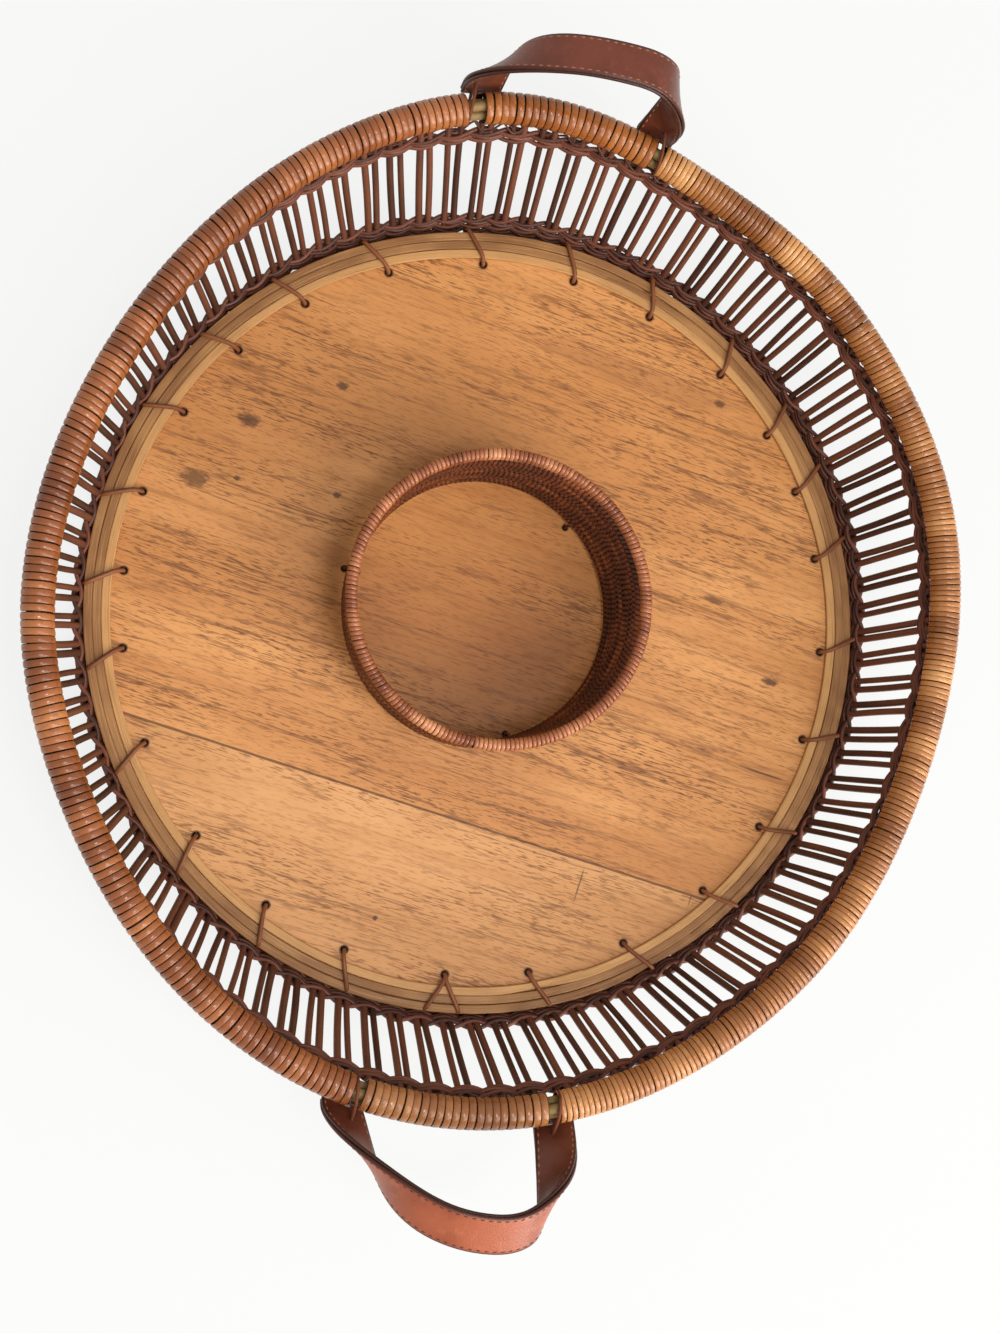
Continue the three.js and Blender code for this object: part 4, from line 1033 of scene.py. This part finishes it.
def stake_line(angle, foot_offset, head_offset, draw):
    """One stake with its slight bow, folded at the foot to run along the border."""
    foot_angle = angle + foot_offset / FOOT_RADIUS
    head_angle = angle + head_offset / FOOT_RADIUS
    bow_out = draw.uniform(-STAKE_BOW, STAKE_BOW)
    bow_side = draw.uniform(-STAKE_SWAY, STAKE_SWAY)
    low, high = STAKE_LOW_END, RIM_Z - STAKE_HEAD_DROP
    line = []
    steps = 9
    for step in range(steps + 1):
        share = step / steps
        z = high + (low - high) * share
        here = head_angle + (foot_angle - head_angle) * share + bow_side * math.sin(math.pi * share)
        line.append(pushed_out(gallery_point(here, z), bow_out * math.sin(math.pi * share)))
    fold = foot_angle - STAKE_LEAN
    layer = draw.choice(FOOT_LAYERS)
    line.append(polar(FOOT_RADIUS + layer / 2, fold + FOOT_FOLD, FOOT_FOLD_HEIGHT))
    for run in FOOT_RUNS:
        line.append(polar(FOOT_RADIUS + layer, fold + run, FOOT_RUN_HEIGHT))
    return smooth_line(line, 2)


def build_stakes():
    section = section_object("stake_section", round_outline(sides=8))
    draw = random.Random(STAKE_SEED)
    for panel in range(PANELS):
        lines = []
        for pair in range(PAIRS_PER_PANEL):
            middle = (panel * PAIRS_PER_PANEL + pair + 0.5) * PAIR_PITCH
            for side in (-1, 1):
                foot = side * draw.uniform(*STAKE_FOOT_OFFSETS)
                head = side * draw.uniform(*STAKE_HEAD_OFFSETS)
                radius = STAKE_RADIUS * draw.uniform(*STAKE_RADIUS_SHARES)
                lines.append((stake_line(middle, foot, head, draw), radius, False))
        name = f"{panel + 1:02d}"
        settings = {"Section": section, "Seed": panel, "Material": STAKE_RATTAN}
        mesh = grown("stakes_" + name, STRAND, lines, settings)
        add_piece("gallery_stakes_" + name, mesh, "tray", ["stake_panel_" + name])
    bpy.data.objects.remove(section)


def twined_line(height, sign, twist, seed):
    """One of two strands that cross between every two pairs of stakes."""
    draw = random.Random(seed)
    sway = [(draw.uniform(0, TAU), draw.randint(5, 23)) for _ in range(4)]
    per_pair = 8
    line = []
    for step in range(PAIR_COUNT * per_pair):
        pairs = step / per_pair
        angle = pairs * PAIR_PITCH
        phase = math.pi * (pairs - 0.5)
        wave = sum(math.sin(count * angle + start) for start, count in sway) * TWINE_WAVE
        z = height + sign * twist * TWINE_RISE * math.sin(phase) + wave
        line.append(pushed_out(gallery_point(angle, z), sign * TWINE_REACH * math.cos(phase)))
    return line


def lace_line(seed):
    """A thin strand that loops unevenly between the highest row and the rim."""
    draw = random.Random(seed)
    loops = 2 * PAIR_COUNT
    points = []
    for loop in range(loops):
        angle = TAU * (loop + draw.uniform(-LACE_SPACING_STRAY, LACE_SPACING_STRAY)) / loops
        z = BOARD_TOP + LACE_HEIGHTS[loop % 2] + draw.uniform(-LACE_STRAY, LACE_STRAY)
        points.append(pushed_out(gallery_point(angle, z), draw.uniform(*LACE_DEPTHS)))
    return smooth_line(points, 4, True)


def build_weavers():
    section = section_object("weaver_section", round_outline(sides=7))
    for row, courses in WEAVER_ROWS.items():
        seed = WEAVER_SEEDS[row]
        for layer, sign in (("inner", -1), ("outer", 1)):
            lines = []
            for course, (height, twist) in enumerate(courses):
                line = twined_line(BOARD_TOP + height, sign, twist, course + 10 * seed)
                lines.append((line, WEAVER_RADIUS, True))
            if row == "top":
                lines.append((lace_line(LACE_SEED + sign), LACE_RADIUS, True))
            name = f"{row}_{layer}"
            settings = {"Section": section, "Seed": seed + sign, "Material": WEAVER_RATTAN}
            mesh = grown("weaver_" + name, STRAND, lines, settings)
            add_piece("twined_" + name, mesh, "tray", ["weaver_" + name])
    bpy.data.objects.remove(section)


# Rim


def build_rim_rods():
    section = section_object("rod_section", round_outline(sides=10))
    rods = {"top": 90 * DEGREE, "inner": 210 * DEGREE, "outer": -30 * DEGREE}
    for name, turn in rods.items():
        line = []
        for step in range(ROD_STEPS):
            centre, outward, _ = rim_section(TAU * step / ROD_STEPS)
            line.append(centre + outward * ROD_OFFSET * math.cos(turn) + UP * ROD_OFFSET * math.sin(turn))
        settings = {"Section": section, "Seed": 3, "Material": RIM_ROD}
        mesh = grown("rod_" + name, STRAND, [(line, ROD_RADIUS, True)], settings)
        add_piece("rim_cane_rod_" + name, mesh, "tray", ["rim_rod_" + name])
    bpy.data.objects.remove(section)


def build_rim_binding():
    """Wound stretches that end at the bare gaps, of which the one at the back left is the widest."""
    half_gap = BARE_GAP / 2 / rim_point(HANDLE_GAP_ANGLE).length
    wide_half_gap = half_gap * WIDE_BARE_GAP / BARE_GAP
    back_left = math.pi - HANDLE_GAP_ANGLE
    spans = {
        "right": (-HANDLE_GAP_ANGLE + half_gap, HANDLE_GAP_ANGLE - half_gap),
        "back": (HANDLE_GAP_ANGLE + half_gap, back_left - wide_half_gap),
        "left": (back_left + wide_half_gap, math.pi + HANDLE_GAP_ANGLE - half_gap),
        "front": (math.pi + HANDLE_GAP_ANGLE + half_gap, TAU - HANDLE_GAP_ANGLE - half_gap),
    }
    for i, (name, (start, end)) in enumerate(spans.items()):
        steps = 160
        line = [rim_point(start + (end - start) * step / steps) for step in range(steps + 1)]
        length = sum((b - a).length for a, b in zip(line, line[1:]))
        pitch = WRAP_PITCHES[name]
        settings = {
            "Turns": round(length / pitch), "Steps per Turn": 16, "Section Points": 8,
            "Winding Radius": WRAP_RADIUS, "Strip Width": WRAP_COVER * pitch,
            "Strip Thickness": WRAP_THICKNESS, "Slant": 0.8, "Unevenness": 0.3, "Seed": 11.0 * i,
            "Material": WRAP_LIT_SHADED_CANES[name],
        }
        mesh = grown("wrap_" + name, WOUND_STRIP, [(line, 1.0, False)], settings)
        add_piece("rim_binding_" + name, mesh, "tray", ["rim_wrap_" + name])


# Handles


def lofted(rings, material, edge_values):
    """The closed skin over a row of equal rings, with an edge attribute for each point of a ring."""
    size = len(rings[0])
    points = [point for ring in rings for point in ring]
    faces = []
    for row in range(len(rings) - 1):
        here, there = row * size, (row + 1) * size
        for i in range(size):
            j = (i + 1) % size
            faces.append((here + i, here + j, there + j, there + i))
    faces.append(tuple(range(size - 1, -1, -1)))
    faces.append(tuple(range(len(points) - size, len(points))))
    mesh = bpy.data.meshes.new("loft")
    mesh.from_pydata(points, [], faces)
    mesh.attributes.new("edge", "FLOAT", "POINT").data.foreach_set("value", edge_values * len(rings))
    mesh.materials.append(material)
    mesh.polygons.foreach_set("use_smooth", [True] * len(mesh.polygons))
    mesh.update()
    return mesh


def bezier(ends, t):
    a, b, c, d = ends
    spot = a * (1 - t) ** 3 + b * 3 * t * (1 - t) ** 2 + c * 3 * t ** 2 * (1 - t) + d * t ** 3
    slope = (b - a) * 3 * (1 - t) ** 2 + (c - b) * 6 * t * (1 - t) + (d - c) * 3 * t ** 2
    return spot, slope.normalized()


def handle_frame(end, lean):
    """The place and directions of a handle that hangs on two bare gaps of the rim, half its span, how far
    the strap's middle stands off and how much its tabs slant."""
    gap = HANDLE_GAP_ANGLE
    angles = (math.pi - gap, gap) if end == "back" else (-gap, gap - math.pi)
    gaps = [rim_section(angle) for angle in angles]
    hinge = (gaps[0][0] + gaps[1][0]) / 2
    span = gaps[1][0] - gaps[0][0]
    along = span.normalized()
    level = UP.cross(along)
    outward = level * math.cos(lean) - UP * math.sin(lean)
    upward = level * math.sin(lean) + UP * math.cos(lean)
    middle, follow = HANDLE_FEET[end]
    slant = follow * max(abs(run.dot(level) / run.dot(along)) for _, _, run in gaps)
    return hinge, along, outward, upward, span.length / 2, middle, slant


def leg_stations(foot, heel, top, shoulder):
    """Places along one leg from its tab to the crown: spot, heading and share of the leg."""
    stations = []
    for step in range(TAB_STEPS):
        stations.append((Vector((foot, -TAB_DROP * (1 - step / TAB_STEPS))), Vector((0, 1)), 0.0))
    ends = [Vector((foot, 0)), Vector((foot, heel)), shoulder, top]
    for step in range(LEG_STEPS + 1):
        spot, heading = bezier(ends, step / LEG_STEPS)
        stations.append((spot, heading, step / LEG_STEPS))
    return stations


def strap_frames(end):
    """For each place along the strap: its middle, its width direction and its outer normal."""
    lean, rise, skew, tilt = HANDLE_SHAPES[end]
    hinge, along, outward, upward, reach, middle, slant = handle_frame(end, lean)
    top = Vector((skew, rise))
    legs = {}
    for side, (splay, heel, crown) in HANDLE_LEGS[end].items():
        shoulder = Vector((skew + side * crown, rise))
        legs[side] = leg_stations(side * (reach + splay), heel, top, shoulder)
    falling = [(spot, -heading, share) for spot, heading, share in reversed(legs[1][:-1])]
    crown_width = outward * math.cos(tilt) - upward * math.sin(tilt)
    frames = []
    for spot, heading, share in legs[-1] + falling:
        twist = TAU / 4 * (1 - smoothstep(share, TWIST_START, TWIST_END))
        in_plane = along * heading.y - upward * heading.x
        leg_width = in_plane + outward * slant
        width = (crown_width * math.cos(twist) + leg_width * math.sin(twist)).normalized()
        forward = along * heading.x + upward * heading.y
        normal = forward.cross(width).normalized()
        centre = hinge + along * spot.x + outward * middle + upward * spot.y
        frames.append((centre, width, normal))
    return frames


def strap_outline(low, high):
    """Section of one leather layer: across the width and through the thickness, with how near its edge."""
    half = STRAP_WIDTH / 2
    flat_half = half - LEATHER_EDGE_ROUND
    shares = [-1, -0.8, -0.4, 0, 0.4, 0.8, 1]
    spots = [(half, (low + high) / 2, 1.0)]
    for share in reversed(shares):
        spots.append((share * flat_half, high, abs(share)))
    spots.append((-half, (low + high) / 2, 1.0))
    for share in shares:
        spots.append((share * flat_half, low, abs(share)))
    return spots


def build_leather(end, frames):
    face = LEATHER_HALF_GAP + LEATHER_THICKNESS
    layers = {
        "strap": (LEATHER_HALF_GAP, face, STRAP_LEATHERS_WEAR_AND_LIGHT[end]),
        "lining": (-face, -LEATHER_HALF_GAP, LINING_LEATHER),
    }
    for layer, (low, high, material) in layers.items():
        outline = strap_outline(low, high)
        rings = []
        for centre, width, normal in frames:
            rings.append([centre + width * x + normal * z for x, z, _ in outline])
        mesh = lofted(rings, material, [near for _, _, near in outline])
        add_piece(f"{end}_handle_{layer}", mesh, end + "_handle", [f"{end}_{layer}"])


def build_stitching(end, frames):
    """Two rows of stitches on the outer face of each layer, sunk a little into the leather."""
    for layer, side, thread in (("strap", 1, STRAP_THREADS[end]), ("lining", -1, LINING_THREAD)):
        height = side * (LEATHER_HALF_GAP + LEATHER_THICKNESS - STITCH_SINK)
        rows = []
        for edge in (-STITCH_EDGE, STITCH_EDGE):
            row = []
            for centre, width, normal in frames[TAB_STEPS:-TAB_STEPS]:
                row.append(centre + width * edge * STRAP_WIDTH / 2 + normal * height)
            rows.append((row, 1.0, False))
        settings = {
            "Spacing": STITCH_SPACING, "Stitch Length": STITCH_LENGTH, "Thread Radius": THREAD_RADIUS,
            "Material": thread,
        }
        mesh = grown(f"{end}_{layer}_stitches", STITCHES, rows, settings)
        add_piece(f"{end}_handle_{layer}_stitching", mesh, end + "_handle")


def build_thongs(end):
    """Closed loops through the bare gaps, round the rods of the rim and round the ends of the strap."""
    hinge, along, outward, upward, reach, middle, _ = handle_frame(end, HANDLE_SHAPES[end][0])
    loop = (ROD_OFFSET + ROD_RADIUS + THONG_RADIUS + THONG_SLACK) / math.cos(TAU / 16)
    diagonal = loop * math.sqrt(0.5)
    outside = middle + LEATHER_HALF_GAP + LEATHER_THICKNESS + THONG_SLACK + THONG_RADIUS
    below = -TAB_DROP - THONG_FIT - THONG_RADIUS
    route = [
        (-loop, 0), (-diagonal, -diagonal), (0, -loop), (middle, below), (outside, below),
        (outside, loop), (middle, loop), (0, loop), (-diagonal, diagonal),
    ]
    section = section_object("thong_section", round_outline(sides=8))
    tied = reach + THONG_SPREAD
    for side, place in (("left", -tied), ("right", tied)):
        points = [hinge + along * place + outward * out + upward * up for out, up in route]
        settings = {"Section": section, "Seed": 5, "Material": THONG}
        mesh = grown("thong", STRAND, [(smooth_line(points, 4, True), THONG_RADIUS, True)], settings)
        thong = f"{end}_handle_thong_{side}"
        add_piece(thong, mesh, end + "_handle", [f"{end}_lashing_{side}"])
    bpy.data.objects.remove(section)


def build_handle(end):
    frames = strap_frames(end)
    build_leather(end, frames)
    build_stitching(end, frames)
    build_thongs(end)


# Cup


def build_cup_wall():
    per_turn = 90
    low = CUP_FIT + CUP_COIL_RADIUS
    high = CUP_RIM_HEIGHT - CUP_RIM_CREST - CUP_COIL_RADIUS
    steps = CUP_COIL_TURNS * per_turn
    line = []
    for step in range(steps + 1):
        angle = CUP_COIL_START + TAU * step / per_turn
        line.append(around_cup(angle, low + (high - low) * step / steps))
    settings = {
        "Turns": COIL_STRIP_TURNS, "Steps per Turn": 8, "Section Points": 5,
        "Winding Radius": COIL_STRIP_WINDING, "Strip Width": COIL_STRIP_WIDTH,
        "Strip Thickness": COIL_STRIP_THICKNESS, "Slant": 0.8, "Unevenness": 0.25, "Seed": 2.0,
        "Material": CUP_CANE,
    }
    mesh = grown("cup_wall", WOUND_STRIP, [(line, 1.0, False)], settings)
    add_piece("cup_wall_coil", mesh, "tray", ["cup_coil"])


def build_cup_rim():
    section = section_object("cup_rod_section", round_outline(sides=10))
    steps = 120
    ring = [around_cup(TAU * step / steps, CUP_RIM_HEIGHT) for step in range(steps)]
    settings = {"Section": section, "Seed": 3, "Material": RIM_ROD}
    mesh = grown("cup_rod", STRAND, [(ring, CUP_RIM_ROD_RADIUS, True)], settings)
    add_piece("cup_rim_cane_rod", mesh, "tray", ["cup_rim_rod"])
    bpy.data.objects.remove(section)

    # The two ends of the wound strip stay just apart.
    steps = 160
    turn = (TAU - CUP_BINDING_GAP) / steps
    line = [around_cup(CUP_COIL_START + turn * step, CUP_RIM_HEIGHT) for step in range(steps + 1)]
    settings = {
        "Turns": CUP_BINDING_TURNS, "Steps per Turn": 14, "Section Points": 8,
        "Winding Radius": CUP_BINDING_WINDING, "Strip Width": CUP_BINDING_WIDTH,
        "Strip Thickness": CUP_BINDING_THICKNESS, "Slant": 0.5, "Unevenness": 0.25, "Seed": 6.0,
        "Material": CUP_WRAP_CANE,
    }
    mesh = grown("cup_binding", WOUND_STRIP, [(line, 1.0, False)], settings)
    add_piece("cup_rim_binding", mesh, "tray", ["cup_rim_wrap"])


def build_cup_ties():
    """Closed loops round the lowest turn of the coil and through two holes in the board."""
    section = section_object("tie_section", round_outline(sides=10))
    top = 2 * CUP_FIT + 2 * CUP_COIL_RADIUS + TIE_RADIUS
    bottom = BOARD_UNDERSIDE - BOARD_TOP - CUP_FIT - TIE_RADIUS
    inner = TIE_REACH - TIE_CORNER
    outline = [
        (-TIE_REACH, bottom + TIE_CORNER), (-TIE_REACH, top - TIE_CORNER), (-inner, top), (inner, top),
        (TIE_REACH, top - TIE_CORNER), (TIE_REACH, bottom + TIE_CORNER), (inner, bottom), (-inner, bottom),
    ]
    for i, degree in enumerate(TIE_DEGREES):
        points = [around_cup(degree * DEGREE, z, push) for push, z in outline]
        settings = {"Section": section, "Seed": i, "Material": THONG}
        mesh = grown("tie", STRAND, [(smooth_line(points, 4, True), TIE_RADIUS, True)], settings)
        add_piece(f"cup_tie_thong_{i + 1}", mesh, "tray", [f"cup_tie_{i + 1}"])
    bpy.data.objects.remove(section)


build_board()
build_hoop()
build_lacing()
build_stakes()
build_weavers()
build_rim_rods()
build_rim_binding()
build_handle("back")
build_handle("front")
build_cup_wall()
build_cup_rim()
build_cup_ties()

# Stage: a pale floor, soft light from the front right and a camera above the left of the tray
FLOOR_REACH = 6
# Seen straight from the camera the floor is mostly an even white that keeps a faint shadow near the tray.
FLOOR_WHITE = srgb(249, 250, 249)
FLOOR_WHITE_SHARE = 0.85
FLOOR_WHITE_EDGE = 4 * MM
FLOOR_WHITE_RANGE = (0.7, 2.0)
ROOM_COLOUR = (1.0, 0.985, 0.96, 1)
ROOM_STRENGTH = 0.68
# Each lamp's place, size across, power in watts and colour
LAMPS = {
    "window": ((1.15, -1.3, 1.5), 2.0, 40, (1.0, 0.97, 0.93)),
    "low_window": ((1.6, -1.2, 0.6), 1.2, 19, (1.0, 0.97, 0.93)),
    "ceiling": ((0.25, -0.3, 2.0), 0.5, 10, (1.0, 0.98, 0.95)),
}
LAMP_AIM = Vector((0, 0, 0.03))
# The camera's place and the directions of the picture's right side and top. Its focal length is given as
# it measures on a picture of this height, in pixels.
CAMERA_PLACE = Vector((-0.16157, -0.09012, BOARD_TOP + 0.81752))
PICTURE_RIGHT = Vector((0.97071, 0.11211, 0.21247))
PICTURE_TOP = Vector((-0.12655, 0.9904, 0.05562))
PICTURE_HEIGHT_PIXELS = 1333
FOCAL_LENGTH_PIXELS = 1800
SENSOR_SIZE = 36


def floor_material():
    material, tree, shader = new_material("pale_floor", 0.9, 0.1)
    spot = spot_on_piece(tree)
    colour = mixed(tree, noise(tree, spot, 3.0, 2.0), srgb(222, 223, 222), srgb(230, 231, 230))
    tree.links.new(colour, shader.inputs["Base Color"])
    white = add_node(tree, "ShaderNodeEmission", {"Color": FLOOR_WHITE, "Strength": 1.0}).outputs[0]
    seen = add_node(tree, "ShaderNodeLightPath").outputs["Is Camera Ray"]
    away = add_node(tree, "ShaderNodeVectorMath", {0: spot}, operation="LENGTH").outputs["Value"]
    outside = ranged(tree, away, FOOT_RADIUS - FLOOR_WHITE_EDGE, FOOT_RADIUS, 0.0, FLOOR_WHITE_SHARE)
    far_away = ranged(tree, away, *FLOOR_WHITE_RANGE, 0.0, 1 - FLOOR_WHITE_SHARE)
    share = maths(tree, "MULTIPLY", seen, maths(tree, "ADD", outside, far_away))
    surface = add_node(tree, "ShaderNodeMixShader", {0: share, 1: shader.outputs[0], 2: white}).outputs[0]
    tree.links.new(surface, tree.nodes["Material Output"].inputs["Surface"])
    return material


def build_floor():
    corners = [(x * FLOOR_REACH, y * FLOOR_REACH, 0) for x, y in ((-1, -1), (1, -1), (1, 1), (-1, 1))]
    mesh = bpy.data.meshes.new("floor")
    mesh.from_pydata(corners, [], [(0, 1, 2, 3)])
    mesh.materials.append(floor_material())
    floor = bpy.data.objects.new("floor", mesh)
    bpy.context.scene.collection.objects.link(floor)


def build_light():
    world = bpy.data.worlds.new("soft_room")
    world.use_nodes = True
    room = world.node_tree
    background = room.nodes["Background"]
    background.inputs["Color"].default_value = ROOM_COLOUR
    seen = add_node(room, "ShaderNodeLightPath").outputs["Is Camera Ray"]
    strength = add_node(room, "ShaderNodeMix", {0: seen, 2: ROOM_STRENGTH, 3: 1.0}).outputs[0]
    room.links.new(strength, background.inputs["Strength"])
    bpy.context.scene.world = world
    for name, (place, size, power, colour) in LAMPS.items():
        data = bpy.data.lights.new(name, "AREA")
        data.shape = "DISK"
        data.size = size
        data.energy = power
        data.color = colour
        lamp = bpy.data.objects.new(name, data)
        lamp.location = place
        lamp.rotation_euler = (LAMP_AIM - Vector(place)).to_track_quat("-Z", "Y").to_euler()
        bpy.context.scene.collection.objects.link(lamp)


def build_camera():
    data = bpy.data.cameras.new("photo_view")
    data.sensor_width = SENSOR_SIZE
    data.lens = SENSOR_SIZE * FOCAL_LENGTH_PIXELS / PICTURE_HEIGHT_PIXELS
    camera = bpy.data.objects.new("photo_view", data)
    backward = PICTURE_RIGHT.cross(PICTURE_TOP)
    turn = Matrix((PICTURE_RIGHT, PICTURE_TOP, backward)).transposed().to_4x4()
    camera.matrix_world = Matrix.Translation(CAMERA_PLACE) @ turn
    bpy.context.scene.collection.objects.link(camera)
    bpy.context.scene.camera = camera


build_floor()
build_light()
build_camera()
bpy.context.scene.view_settings.view_transform = "Standard"
